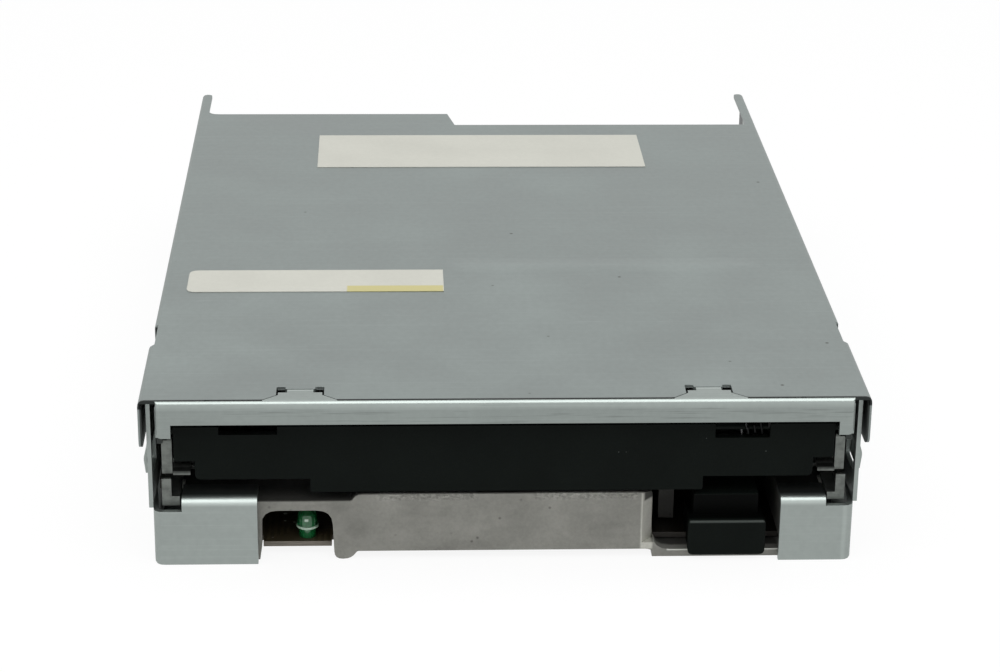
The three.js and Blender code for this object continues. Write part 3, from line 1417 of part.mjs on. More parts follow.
piece('stepper_motor', stepperMotor(), 'can');
piece('motor_bracket', motorBracket(), 'galvanised');

// Fasteners
bossSpots.forEach(([x, y], row) => [-x, x].forEach((bx, column) => {
  const name = `board_screw_${['front', 'rear'][row]}_${['left', 'right'][column]}`;
  piece(name, screwAt([bx, y]), 'can');
}));
footSpots.forEach((y, row) => [-1, 1].forEach((side, column) => {
  const name = `frame_screw_${['front', 'rear'][row]}_${['left', 'right'][column]}`;
  piece(name, flushScrewAt([side * footX, y]), 'can');
}));

export default drive;
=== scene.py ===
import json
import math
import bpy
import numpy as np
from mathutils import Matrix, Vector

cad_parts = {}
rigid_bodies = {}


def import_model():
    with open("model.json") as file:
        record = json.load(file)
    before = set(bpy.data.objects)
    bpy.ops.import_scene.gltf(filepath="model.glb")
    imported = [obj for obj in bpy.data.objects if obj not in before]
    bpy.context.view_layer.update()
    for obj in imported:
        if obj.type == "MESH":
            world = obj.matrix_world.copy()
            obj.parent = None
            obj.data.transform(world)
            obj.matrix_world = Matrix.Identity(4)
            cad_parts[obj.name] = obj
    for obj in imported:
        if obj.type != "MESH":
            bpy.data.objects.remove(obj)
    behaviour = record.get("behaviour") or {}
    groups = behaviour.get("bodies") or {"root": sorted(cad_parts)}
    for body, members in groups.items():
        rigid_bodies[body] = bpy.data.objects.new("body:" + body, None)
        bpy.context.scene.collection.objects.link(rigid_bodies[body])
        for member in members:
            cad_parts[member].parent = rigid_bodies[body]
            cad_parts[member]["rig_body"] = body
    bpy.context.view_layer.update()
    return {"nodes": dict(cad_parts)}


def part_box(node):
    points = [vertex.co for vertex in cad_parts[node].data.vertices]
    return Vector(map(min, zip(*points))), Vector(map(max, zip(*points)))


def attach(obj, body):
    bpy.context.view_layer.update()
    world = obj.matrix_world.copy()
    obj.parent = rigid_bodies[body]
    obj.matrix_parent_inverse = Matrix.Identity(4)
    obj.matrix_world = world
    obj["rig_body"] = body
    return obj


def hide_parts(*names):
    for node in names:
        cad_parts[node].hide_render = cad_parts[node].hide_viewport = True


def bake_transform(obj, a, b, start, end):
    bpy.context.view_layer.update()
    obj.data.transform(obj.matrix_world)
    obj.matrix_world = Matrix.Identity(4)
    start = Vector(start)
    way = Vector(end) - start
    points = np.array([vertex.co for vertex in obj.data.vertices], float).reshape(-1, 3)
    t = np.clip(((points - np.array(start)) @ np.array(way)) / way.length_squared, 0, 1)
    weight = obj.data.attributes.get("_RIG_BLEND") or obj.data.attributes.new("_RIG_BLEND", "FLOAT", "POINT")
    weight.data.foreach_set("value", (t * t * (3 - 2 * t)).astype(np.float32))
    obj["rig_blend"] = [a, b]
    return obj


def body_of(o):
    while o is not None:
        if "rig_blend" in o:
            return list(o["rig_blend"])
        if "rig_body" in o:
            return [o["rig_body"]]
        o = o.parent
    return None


bl_info = {
    "name": "Floppy Drive Looks",
    "version": (1, 0, 0),
    "blender": (4, 5, 0),
    "location": "3D View > Sidebar > Floppy Drive",
    "description": "Gives the packed pieces of a 3.5-inch floppy drive their finishes and fine detail",
    "category": "Object",
}

import bmesh
import bpy
from mathutils import Matrix, Vector

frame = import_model()
NODES = frame["nodes"]

MM = 0.001
LEFT_RIGHT = {"left": -1, "right": 1}
FRONT_REAR = ("front", "rear")

# Heights, spans across the drive, depths and radii in millimetres, in the part's frame.
PLATE_TOPS = {"left": 10.2, "right": 9.8}
PLATE_SPAN = (34, 46)
TRIM_HEIGHTS = (9.15, 10.2)
TRIM_SPANS = ((-18, -4), (4.2, 18.8))
RECESS_SPAN = (21.5, 39.3)
LEDGE_SPAN = (23.2, 39.2)
SHADED_BOARD_SPAN = (20.5, 43.5)
RECESS_REAR = -50
WINDING_RADII = (9.2, 17.2)


def box_of(node):
    """The lowest and the highest corner of a CAD node, in millimetres."""
    return tuple(Vector(corner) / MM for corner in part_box(node))


def middle_of(node):
    low, high = box_of(node)
    return (low + high) / 2


def paint(red, green, blue):
    """Linear colour of a paint chip given in 0 to 255 steps."""
    def linear(step):
        share = step / 255
        return share / 12.92 if share <= 0.04045 else ((share + 0.055) / 1.055) ** 2.4
    return (linear(red), linear(green), linear(blue), 1.0)


def colour_setting(name, description, chip):
    return bpy.props.FloatVectorProperty(
        name=name, description=description, default=paint(*chip), size=4, min=0, max=1, subtype="COLOR")


def size_setting(name, description, millimetres):
    return bpy.props.FloatProperty(
        name=name, description=description, default=millimetres * MM, min=0, unit="LENGTH", precision=5)


class DriveFinishes(bpy.types.PropertyGroup):
    steel: colour_setting("Steel", "Zinc-coated sheet of the frames and the motor bracket", (147, 154, 151))
    cover: colour_setting("Cover", "Zinc-coated sheet of the top cover", (127, 134, 132))
    lip: colour_setting("Lip", "Zinc-coated sheet of the front lip", (139, 146, 143))
    inner: colour_setting("Inner sheet", "Duller sheet of the disk holder and the slider", (112, 116, 112))
    casting: colour_setting("Casting", "Die-cast deck and front block", (132, 132, 126))
    plastic: colour_setting("Black plastic", "Flap, button, levers and carriage", (12, 16, 14))
    lens: colour_setting("Lamp lens", "Green lens of the lamp", (16, 104, 54))
    board: colour_setting("Board", "Lacquered faces of the circuit board", (52, 46, 32))
    laminate: colour_setting("Board edge", "Bare cut edge of the circuit board", (126, 120, 110))
    tin: colour_setting("Tin", "Solder, pins and leads", (176, 178, 176))
    bright: colour_setting("Bright steel", "Ground rods, pins and springs", (176, 178, 178))
    brass: colour_setting("Brass", "Bearing and lead screw", (176, 141, 84))
    copper: colour_setting("Copper", "Windings of the stator", (166, 92, 52))
    nylon: colour_setting("Nylon", "Socket, screw bearing and head pads", (217, 212, 196))
    paper: colour_setting("Paper", "Bare face of both stickers", (194, 194, 185))
    stripe: colour_setting("Stripe", "Yellow stripe on the small sticker", (186, 179, 128))


class DriveEdges(bpy.types.PropertyGroup):
    sheet: size_setting("Sheet edge", "Round on the cut edges of the sheet metal", 0.1)
    cast: size_setting("Cast edge", "Round on the edges of the casting", 0.22)
    plastic: size_setting("Plastic edge", "Round on the edges of the moulded pieces", 0.18)
    turned: size_setting("Turned edge", "Round on the edges of the turned pieces", 0.12)
    small: size_setting("Small edge", "Round on the smallest pieces", 0.05)


class DriveStage(bpy.types.PropertyGroup):
    floor: colour_setting("Floor", "Plain floor under the drive", (250, 250, 250))
    lens: bpy.props.FloatProperty(
        name="Lens", description="Focal length of the camera on a 36 mm sensor", unit="CAMERA",
        default=97.9)
    stand: bpy.props.FloatVectorProperty(
        name="Camera place", description="Where the camera stands", subtype="TRANSLATION", unit="LENGTH",
        default=(-0.01652, -0.417977, 0.173609))
    turn: bpy.props.FloatVectorProperty(
        name="Camera turn", description="Tilt down, turn to the right and roll of the camera",
        subtype="EULER", unit="ROTATION", default=(0.381688, 0.0447159, 0.0119371))
    key: bpy.props.FloatProperty(
        name="Key light", description="Power of the large light overhead", default=13.0, unit="POWER")
    fill: bpy.props.FloatProperty(
        name="Fill light", description="Power of each light at the sides", default=0.6, unit="POWER")
    ambient: bpy.props.FloatProperty(
        name="Ambient", description="Strength of the surroundings on matt surfaces", default=0.14, min=0)


class Graph:
    """A node tree that is filled one node at a time."""

    def __init__(self, tree):
        self.tree = tree

    def feed(self, socket, value):
        if isinstance(value, bpy.types.NodeSocket):
            self.tree.links.new(value, socket)
        else:
            socket.default_value = value

    def add(self, kind, values=None, **settings):
        node = self.tree.nodes.new(kind)
        for setting, value in settings.items():
            setattr(node, setting, value)
        for socket, value in (values or {}).items():
            self.feed(node.inputs[socket], value)
        return node


class Finish(Graph):
    """A Principled material whose patterns are laid on Object coordinates, in millimetres."""

    def __init__(self, colour, **sockets):
        self.material = bpy.data.materials.new("finish")
        self.material.use_nodes = True
        super().__init__(self.material.node_tree)
        self.surface = self.tree.nodes["Principled BSDF"]
        self.colour = self.surface.inputs["Base Color"]
        self.colour.default_value = colour
        for socket, value in sockets.items():
            self.surface.inputs[socket.replace("_", " ")].default_value = value
        self.place = self.add("ShaderNodeTexCoord").outputs["Object"]
        self.relief = None

    def scaled(self, size):
        """Object coordinates in steps of size millimetres along each axis."""
        across = size if isinstance(size, tuple) else (size,) * 3
        return self.add("ShaderNodeMapping", {
            "Vector": self.place, "Scale": tuple(1 / (step * MM) for step in across)}).outputs["Vector"]

    def clouds(self, size, detail=2.0, rough=0.5):
        return self.add("ShaderNodeTexNoise", {
            "Vector": self.scaled(size), "Scale": 1.0, "Detail": detail, "Roughness": rough}).outputs["Fac"]

    def cells(self, size, output="Distance"):
        return self.add("ShaderNodeTexVoronoi", {
            "Vector": self.scaled(size), "Scale": 1.0}, feature="F1").outputs[output]

    def spread(self, value, low, high, to_low=0.0, to_high=1.0):
        """Maps low to high onto to_low to to_high, clamped."""
        return self.add("ShaderNodeMapRange", {
            "Value": value, "From Min": low, "From Max": high, "To Min": to_low, "To Max": to_high,
        }).outputs["Result"]

    def stretched(self, noise):
        """Maps the values that a noise mostly has onto 0 to 1."""
        return self.spread(noise, 0.3, 0.7)

    def dots(self, size, core, rim):
        """1 in small dots about size millimetres apart, fading from core to rim, shares of that size."""
        return self.spread(self.cells(size), core, rim, 1.0, 0.0)

    def math(self, operation, *values):
        return self.add("ShaderNodeMath", dict(enumerate(values)), operation=operation).outputs["Value"]

    def both(self, first, second):
        return self.math("MULTIPLY", first, second)

    def axis(self, name):
        """One object coordinate, in millimetres."""
        raw = self.add("ShaderNodeSeparateXYZ", {"Vector": self.place}).outputs[name]
        return self.math("MULTIPLY", raw, 1 / MM)

    def ramps(self, name, pitch):
        """Rises from 0 to 1 over and over along an axis, once in each pitch of so many millimetres."""
        return self.math("FRACT", self.math("DIVIDE", self.axis(name), pitch))

    def band(self, name, low, high, soft=0.3):
        """1 between low and high along an axis, in millimetres, and 0 beyond."""
        at = self.axis(name)
        rise = self.spread(at, low - soft, low + soft)
        fall = self.spread(at, high - soft, high + soft, 1.0, 0.0)
        return self.both(rise, fall)

    def patch(self, soft=0.3, **spans):
        """1 inside a box given by spans such as X=(low, high), in millimetres."""
        whole = None
        for name, (low, high) in spans.items():
            band = self.band(name, low, high, soft)
            whole = band if whole is None else self.both(whole, band)
        return whole

    def base(self):
        """What gives the base colour so far: a socket, or the plain colour."""
        if self.colour.is_linked:
            return self.colour.links[0].from_socket
        return tuple(self.colour.default_value)

    def tint(self, factor, colour):
        """Mixes a colour over what the base colour holds."""
        mixed = self.add("ShaderNodeMix", {0: factor, 6: self.base(), 7: colour}, data_type="RGBA")
        self.feed(self.colour, mixed.outputs[2])

    def shade(self, factor, change):
        """Brightens or darkens the base colour by a share where the factor is 1."""
        under = self.base()
        if isinstance(under, tuple):
            under = under[:3]
        gain = self.spread(factor, 0.0, 1.0, 1.0, 1.0 + change)
        scaled = self.add("ShaderNodeVectorMath", {0: under, "Scale": gain}, operation="SCALE")
        self.feed(self.colour, scaled.outputs["Vector"])

    def gloss(self, factor, rough, matt):
        """Roughness from rough, where the factor is 0, to matt, where it is 1."""
        self.feed(self.surface.inputs["Roughness"], self.spread(factor, 0.0, 1.0, rough, matt))

    def raise_by(self, height, depth):
        """Adds relief of depth millimetres over the relief so far."""
        values = {"Height": height, "Distance": depth * MM, "Strength": 1.0}
        if self.relief is not None:
            values["Normal"] = self.relief
        self.relief = self.add("ShaderNodeBump", values).outputs["Normal"]
        self.feed(self.surface.inputs["Normal"], self.relief)


def finishes():
    return bpy.context.scene.drive_finishes


def zinc_sheet(colour, mottling=0.09):
    """Zinc-coated sheet: soft mottling, fine spangle, faint rolling lines and a few dark pinpricks."""
    made = Finish(colour, Metallic=1.0, Roughness=0.45)
    mottle = made.stretched(made.clouds(17, detail=3))
    spangle = made.clouds((0.9, 1.3, 0.9))
    rolled = made.clouds((38, 0.35, 0.35), detail=1)
    pricks = made.dots(11, core=0.012, rim=0.03)
    made.shade(mottle, mottling)
    made.shade(made.stretched(spangle), -0.05)
    made.shade(made.spread(rolled, 0.55, 0.75), 0.05)
    made.tint(pricks, paint(70, 72, 70))
    made.gloss(mottle, rough=0.40, matt=0.52)
    made.raise_by(spangle, 0.01)
    made.raise_by(rolled, 0.006)
    return made


def plain_sheet():
    return zinc_sheet(finishes().steel)


def frame_sheet():
    """The frames' sheet, with painted highlights along the corner plates' bends, painted shade on their
    shelves and a painted highlight line down the right plate's outer edge.
    """
    made = zinc_sheet(finishes().steel)
    front = box_of("right_frame")[0].y
    for side, top in PLATE_TOPS.items():
        across = sorted(LEFT_RIGHT[side] * edge for edge in PLATE_SPAN)
        # Painted highlight along each plate's bend, and painted shade on its shelf behind it.
        bend = made.patch(soft=0.2, X=across, Y=(front - 0.4, front + 0.8), Z=(top - 1.0, top + 0.3))
        painted_shelf_shade = made.patch(soft=0.45, X=across, Y=(front + 1.3, front + 6), Z=(top - 0.5, top + 0.9))
        made.shade(bend, 0.4)
        made.shade(painted_shelf_shade, -0.75)
    # A painted highlight line down the right plate's outer edge.
    painted_edge_highlight = made.patch(soft=0.15, X=(47.9, 48.5), Y=(front - 0.3, front + 0.3), Z=(-1, 9))
    made.shade(painted_edge_highlight, 0.14)
    return made


def inner_sheet():
    """The duller sheet of the holder and the slider: stained, with painted shade on its lead-ins and roof.
    """
    made = zinc_sheet(finishes().inner, mottling=0.2)
    low, high = box_of("disk_holder")
    stains = made.spread(made.clouds((1.6, 3, 1.1), detail=3, rough=0.6), 0.42, 0.66)
    # Painted shade on the holder's lead-ins and on its roof.
    painted_lead_in_shade = made.patch(soft=0.15, Y=(low.y - 0.2, low.y + 0.9), Z=(low.z + 0.7, low.z + 1.9))
    roof = made.patch(soft=0.3, Y=(low.y - 1.2, low.y + 30.8), Z=(high.z - 1.3, high.z + 0.5))
    made.shade(stains, -0.35)
    made.shade(painted_lead_in_shade, -0.7)
    made.shade(roof, -0.85)
    return made


def cover_sheet():
    """The cover's sheet, with a faint raised crease across its middle under a painted highlight, and old
    scuffs. It has a painted shadow of the slit along its front edge and painted shade inside its flanges."""
    made = zinc_sheet(finishes().cover)
    low, high = box_of("top_cover")
    # The crease is raised in relief and carries a painted highlight.
    crease = made.patch(soft=1.6, X=(-6, 41), Y=(-21.5, -17.5))
    scuffs = made.both(made.spread(made.clouds((7, 0.5, 7), detail=1), 0.72, 0.8), made.clouds(30))
    # Painted shadow of the slit between the cover and the lip, along the cover's front edge.
    painted_front_edge_shade = made.patch(soft=0.05, Y=(low.y - 0.8, low.y + 0.28), Z=(high.z - 1.3, high.z + 0.7))
    made.shade(crease, 0.07)
    made.raise_by(crease, 0.12)
    made.shade(scuffs, 0.12)
    made.shade(painted_front_edge_shade, -0.85)
    # Painted shade on the inner faces of both flanges.
    for side in LEFT_RIGHT.values():
        depth = sorted(side * (high.x - inset) for inset in (0.8, 0.28))
        made.shade(made.patch(soft=0.05, X=depth, Z=(low.z - 7.9, high.z - 0.5)), -0.8)
    return made


def lip_sheet():
    """The lip's sheet, scuffed lengthways by disks, with painted highlights along its bend and the tongues'
    folds, and painted shade on its ears."""
    made = zinc_sheet(finishes().lip)
    low, high = box_of("front_lip")
    scuffs = made.spread(made.clouds((9, 0.4, 0.22)), 0.58, 0.72)
    face = made.band("Z", high.z - 3.4, high.z - 0.7, soft=0.4)
    # Painted highlights along the top bend and the tongues' folds, and painted shade on the ears.
    bend = made.patch(soft=0.35, Y=(low.y - 0.3, low.y + 0.65), Z=(high.z - 1.0, high.z + 0.7))
    painted_fold_highlights = made.patch(soft=0.1, Y=(low.y + 4.15, low.y + 4.7), Z=(high.z - 0.8, high.z + 0.7))
    painted_ear_shade = made.patch(soft=0.1, Y=(low.y + 0.9, low.y + 7), Z=(low.z - 4.4, low.z + 1.35))
    made.shade(made.both(scuffs, face), -0.2)
    made.shade(bend, 0.3)
    made.shade(painted_fold_highlights, 0.5)
    made.shade(painted_ear_shade, -0.85)
    made.gloss(scuffs, rough=0.4, matt=0.55)
    return made


def cast_metal():
    """Die-cast surface: warm grey clouds, dark pores and rough strips where the flash was trimmed. It
    has painted shade in the recess and on the deck, and painted highlights on the recess's bevel and
    along its ledge's edge."""
    made = Finish(finishes().casting, Metallic=0.45, Roughness=0.55)
    front = box_of("chassis_casting")[0].y
    clouds = made.stretched(made.clouds(6, detail=4, rough=0.65))
    grain = made.clouds(0.45, detail=3, rough=0.6)
    pores = made.dots(2.6, core=0.03, rim=0.11)
    stains = made.spread(made.clouds((9, 5, 3), detail=3), 0.55, 0.75)
    made.shade(clouds, -0.22)
    made.shade(stains, -0.16)
    made.shade(made.spread(grain, 0.35, 0.65), 0.1)
    made.tint(made.both(pores, made.clouds(5)), paint(62, 60, 56))
    trims = made.math("ADD", *(
        made.patch(soft=0.35, X=across, Y=(front - 2.5, front + 1.5), Z=TRIM_HEIGHTS)
        for across in TRIM_SPANS))
    torn = made.spread(made.clouds((0.55, 0.4, 0.4), detail=3, rough=0.7), 0.36, 0.62)
    torn_trims = made.both(trims, torn)
    made.shade(trims, -0.25)
    made.shade(torn_trims, 0.75)
    made.gloss(clouds, rough=0.48, matt=0.64)
    made.raise_by(grain, 0.03)
    made.raise_by(torn_trims, 0.15)
    # Painted shade in the recess and on the deck, and painted highlights on the bevel and the ledge's edge.
    recess = made.patch(soft=0.3, X=RECESS_SPAN, Y=(front + 1.5, RECESS_REAR), Z=(0, 12))
    deck = made.patch(soft=0.15, X=(-46, 46), Y=(front + 0.3, front + 25.5), Z=(8.6, 12))
    bevel = made.patch(soft=0.15, X=(19.4, 21.1), Y=(front - 0.4, front + 1.8), Z=(1.2, 10))
    painted_ledge_highlight = made.patch(soft=0.1, X=LEDGE_SPAN, Y=(front - 0.3, front + 0.1), Z=(0.95, 1.5))
    made.shade(recess, -0.8)
    made.shade(deck, -0.85)
    made.shade(bevel, 1.2)
    made.tint(painted_ledge_highlight, paint(206, 209, 201))
    return made


def black_moulding():
    """Satin black plastic with a fine spark-eroded grain and settled dust. The button's top edge has a
    painted highlight and its stem has painted shade."""
    made = Finish(finishes().plastic, Roughness=0.5, Specular_IOR_Level=0.05)
    low, high = box_of("eject_button")
    grain = made.clouds(0.22)
    dust = made.dots(2.1, core=0.02, rim=0.055)
    sparse = made.spread(made.clouds(4.5), 0.6, 0.68)
    # Painted highlight along the button's top edge, and painted shade on its stem.
    painted_top_highlight = made.patch(soft=0.1, X=(low.x + 0.2, high.x - 0.2), Y=(low.y - 0.3, low.y + 0.25),
                          Z=(low.z + 5.0, low.z + 5.45))
    stem = made.patch(soft=0.1, X=(low.x - 2, high.x + 3), Y=(low.y + 0.9, high.y + 1.6),
                      Z=(low.z - 0.95, low.z + 8.25))
    made.shade(made.stretched(made.clouds(9, detail=3)), 0.35)
    made.tint(made.both(dust, sparse), paint(104, 110, 106))
    made.tint(painted_top_highlight, paint(74, 79, 76))
    made.shade(stem, -0.85)
    made.gloss(made.stretched(grain), rough=0.42, matt=0.58)
    made.raise_by(grain, 0.02)
    return made


def lens_plastic():
    """Clear green plastic of the lamp, with a painted highlight along its thin flange and a small one above
    it.
    """
    made = Finish(finishes().lens, Roughness=0.12, Transmission_Weight=0.3, Coat_Weight=0.5, IOR=1.5)
    low = box_of("indicator_lamp")[0]
    # Painted highlights: a pale line along the flange and a small glint above it.
    flange = made.band("Z", low.z + 1.52, low.z + 1.88, soft=0.06)
    painted_glint = made.patch(soft=0.08, X=(low.x + 1.25, low.x + 1.75), Y=(low.y - 0.6, low.y + 1.0),
                       Z=(low.z + 2.75, low.z + 3.1))
    made.tint(flange, paint(196, 222, 202))
    made.tint(painted_glint, paint(214, 234, 218))
    made.shade(made.clouds(0.7), 0.4)
    made.raise_by(made.clouds(0.4, detail=1), 0.01)
    return made


def board_lacquer():
    """Circuit board: lacquer over tracks that run two ways, small plated holes, and shade in the recess."""
    made = Finish(finishes().board, Roughness=0.42)
    pitch = 0.9
    chooser = made.spread(made.cells(7, output="Color"), 0.49, 0.51)
    stripe = made.add("ShaderNodeMix", {0: chooser, 2: made.ramps("X", pitch), 3: made.ramps("Y", pitch)},
                      data_type="FLOAT").outputs[0]
    laid = made.spread(made.clouds(11, detail=0), 0.42, 0.44)
    track = made.both(made.spread(stripe, 0.52, 0.56), laid)
    made.shade(track, 0.7)
    made.tint(made.dots(3.4, core=0.09, rim=0.11), finishes().tin)
    made.shade(made.patch(soft=0.3, X=SHADED_BOARD_SPAN, Y=(-68, RECESS_REAR)), -0.9)
    made.gloss(made.clouds(3), rough=0.34, matt=0.5)
    made.raise_by(track, 0.03)
    return made


def bare_laminate():
    """Cut edge of the board, with its layers of fibre, and shade in the recess."""
    made = Finish(finishes().laminate, Roughness=0.7)
    fibres = made.clouds((3.5, 3.5, 0.12))
    made.shade(made.spread(fibres, 0.35, 0.65), -0.3)
    made.shade(made.patch(soft=0.3, X=SHADED_BOARD_SPAN, Y=(-68, -65)), -0.85)
    made.raise_by(fibres, 0.03)
    return made


def metal(colour, rough, grain):
    """Plain metal with a fine directional grain and a slight cloud of handling."""
    made = Finish(colour, Metallic=1.0, Roughness=rough)
    lines = made.clouds(grain)
    made.shade(made.stretched(made.clouds(6, detail=3)), -0.12)
    made.gloss(made.stretched(lines), rough=rough * 0.85, matt=rough * 1.25)
    made.raise_by(lines, 0.006)
    return made


def bright_steel():
    return metal(finishes().bright, rough=0.22, grain=(0.3, 2.5, 0.3))


def sprung_wire():
    """Oiled spring wire with painted shade round the coil; the leg keeps the bright steel."""
    made = metal(finishes().bright, rough=0.35, grain=(0.3, 2.5, 0.3))
    low, high = box_of("flap_spring")
    # Painted shade on the coil, everywhere but the leg.
    made.shade(made.patch(soft=0.1, X=(low.x + 0.525, high.x + 0.8)), -0.97)
    return made


def tinned():
    return metal(finishes().tin, rough=0.3, grain=(0.3, 0.3, 0.3))


def turned_brass():
    return metal(finishes().brass, rough=0.28, grain=(0.5, 0.15, 0.5))


def motor_can():
    return metal(paint(168, 171, 172), rough=0.33, grain=(0.8, 0.8, 0.25))


def copper_winding():
    """Enamelled wire laid side by side round the stator's teeth."""
    made = Finish(finishes().copper, Metallic=1.0, Roughness=0.3)
    turns = made.ramps("Z", pitch=0.25)
    made.shade(made.spread(turns, 0.0, 0.3), 0.3)
    made.raise_by(turns, 0.05)
    return made


def grained(colour, size, depth, contrast, **sockets):
    """A plain surface with a fine grain in its colour and its relief."""
    made = Finish(colour, **sockets)
    grain = made.clouds(size, detail=3)
    made.shade(made.stretched(grain), contrast)
    made.raise_by(grain, depth)
    return made


def ferrite():
    return grained(paint(46, 44, 43), size=0.3, depth=0.02, contrast=0.35, Roughness=0.6)


def chip_epoxy():
    """Moulded epoxy of the chips and the header."""
    return grained(paint(30, 30, 32), size=0.18, depth=0.015, contrast=0.4, Roughness=0.55,
                   Specular_IOR_Level=0.3)


def ivory_nylon():
    made = Finish(finishes().nylon, Roughness=0.45, Subsurface_Weight=0.1, Subsurface_Scale=0.001)
    made.shade(made.stretched(made.clouds(4, detail=3)), -0.07)
    made.raise_by(made.clouds(0.5), 0.01)
    return made


def paper_face():
    """Matt sticker stock."""
    made = Finish(finishes().paper, Roughness=0.7)
    fibres = made.clouds(0.8, detail=4, rough=0.7)
    made.shade(made.stretched(fibres), -0.05)
    made.shade(made.spread(made.clouds(12), 0.4, 0.8), -0.07)
    made.raise_by(fibres, 0.01)
    return made


def plain_paper():
    return paper_face()


def striped_paper():
    """Sticker stock with a printed band of plain colour in its front corner."""
    made = paper_face()
    low, high = box_of("small_label")
    band = made.patch(soft=0.12, X=(high.x - 14.8, high.x - 0.1), Y=(low.y - 0.5, low.y + 2.4))
    made.tint(band, finishes().stripe)
    return made


def finish(maker):
    """The material that a maker function gives, made once."""
    name = "finish_" + maker.__name__
    if name not in bpy.data.materials:
        maker().material.name = name
    return bpy.data.materials[name]


def show(piece):
    if piece.name not in bpy.context.scene.collection.all_objects:
        bpy.context.scene.collection.objects.link(piece)


def applied(piece):
    """Turns a piece with modifiers into a plain mesh."""
    bpy.context.view_layer.update()
    evaluated = piece.evaluated_get(bpy.context.evaluated_depsgraph_get())
    mesh = bpy.data.meshes.new_from_object(evaluated)
    piece.modifiers.clear()
    piece.data = mesh
    return piece


def smooth(mesh, angle):
    """Shades a mesh smooth, but for edges sharper than an angle in degrees."""
    mesh.polygons.foreach_set("use_smooth", [True] * len(mesh.polygons))
    mesh.set_sharp_from_angle(angle=math.radians(angle))


def cleaned(mesh, twins=0.002 * MM, flat=1.5, tiny=0.04 * MM):
    """Merges a CAD mesh's doubled corners, then joins its flat faces and closes its tiniest edges."""
    work = bmesh.new()
    work.from_mesh(mesh)
    bmesh.ops.remove_doubles(work, verts=work.verts, dist=twins)
    bmesh.ops.dissolve_limit(work, angle_limit=math.radians(flat), verts=work.verts, edges=work.edges)
    bmesh.ops.remove_doubles(work, verts=work.verts, dist=tiny)
    work.to_mesh(mesh)
    work.free()


def rounded(piece, edge, segments, angle):
    """Rounds the edges sharper than an angle and weighs the normals by face, so that flat faces look
    flat."""
    bevel = piece.modifiers.new("Edges", "BEVEL")
    bevel.width = edge
    bevel.segments = segments
    bevel.limit_method = "ANGLE"
    bevel.angle_limit = math.radians(angle)
    bevel.use_clamp_overlap = True
    applied(piece)
    smooth(piece.data, 50)
    weights = piece.modifiers.new("Normals", "WEIGHTED_NORMAL")
    weights.keep_sharp = True
    return applied(piece)


def dressed(node, maker, edge, segments=2, angle=32):
    """A finished copy of a CAD node: same shape, with its edges rounded and its finish on."""
    mesh = NODES[node].data.copy()
    mesh.materials.clear()
    mesh.materials.append(finish(maker))
    cleaned(mesh)
    piece = bpy.data.objects.new("finished_" + node, mesh)
    show(piece)
    rounded(piece, edge, segments, angle)
    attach(piece, body_of(NODES[node])[0])
    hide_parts(node)
    return piece


def repaint(piece, maker, inside):
    """Gives another finish to the faces whose centre, in millimetres, and normal pass a test."""
    piece.data.materials.append(finish(maker))
    slot = len(piece.data.materials) - 1
    for face in piece.data.polygons:
        if inside(face.center / MM, face.normal):
            face.material_index = slot


class Growth(Graph):
    """A geometry tree that puts one shape on each given point and ends in a real mesh of one material."""

    kinds = {int: "NodeSocketInt", float: "NodeSocketFloat", bool: "NodeSocketBool"}

    def __init__(self, name, **inputs):
        super().__init__(bpy.data.node_groups.new(name, "GeometryNodeTree"))
        face = self.tree.interface
        face.new_socket("Points", in_out="INPUT", socket_type="NodeSocketGeometry")
        for label, default in inputs.items():
            socket = face.new_socket(label, in_out="INPUT", socket_type=self.kinds[type(default)])
            socket.default_value = default
        face.new_socket("Turn", in_out="INPUT", socket_type="NodeSocketVector")
        face.new_socket("Material", in_out="INPUT", socket_type="NodeSocketMaterial")
        face.new_socket("Geometry", in_out="OUTPUT", socket_type="NodeSocketGeometry")
        self.given = self.add("NodeGroupInput").outputs

    def geometry(self, kind, values=None, output=0, **settings):
        return self.add("GeometryNode" + kind, values, **settings).outputs[output]

    def vector(self, x=0.0, y=0.0, z=0.0):
        return self.add("ShaderNodeCombineXYZ", {"X": x, "Y": y, "Z": z}).outputs["Vector"]

    def times(self, value, factor):
        return self.add("ShaderNodeMath", {0: value, 1: factor}, operation="MULTIPLY").outputs["Value"]

    def cube(self, x, y, z):
        return self.geometry("MeshCube", {"Size": self.vector(x, y, z)}, output="Mesh")

    def frustum(self, bottom, top, height):
        """A round solid that stands on the origin and runs up from the bottom radius to the top one."""
        return self.geometry("MeshCone", {
            "Vertices": 32, "Radius Bottom": bottom, "Radius Top": top, "Depth": height}, output="Mesh")

    def joined(self, *shapes):
        join = self.add("GeometryNodeJoinGeometry")
        for shape in shapes:
            self.feed(join.inputs["Geometry"], shape)
        return join.outputs["Geometry"]

    def grid(self, columns, rows):
        """A grid of points, as large as the inputs Wide and Deep."""
        return self.geometry("MeshGrid", {
            "Size X": self.given["Wide"], "Size Y": self.given["Deep"],
            "Vertices X": columns, "Vertices Y": rows}, output="Mesh")

    def placed(self, points, shape, turn=None):
        values = {"Points": points, "Instance": shape}
        if turn is not None:
            values["Rotation"] = turn
        return self.geometry("InstanceOnPoints", values)

    def close(self, shape):
        """Puts the shape on each given point as a real mesh and ends the tree."""
        whole = self.placed(self.given["Points"], shape, self.given["Turn"])
        real = self.geometry("RealizeInstances", {"Geometry": whole})
        coated = self.geometry("SetMaterial", {"Geometry": real, "Material": self.given["Material"]})
        self.add("NodeGroupOutput", {"Geometry": coated})
        return self.tree


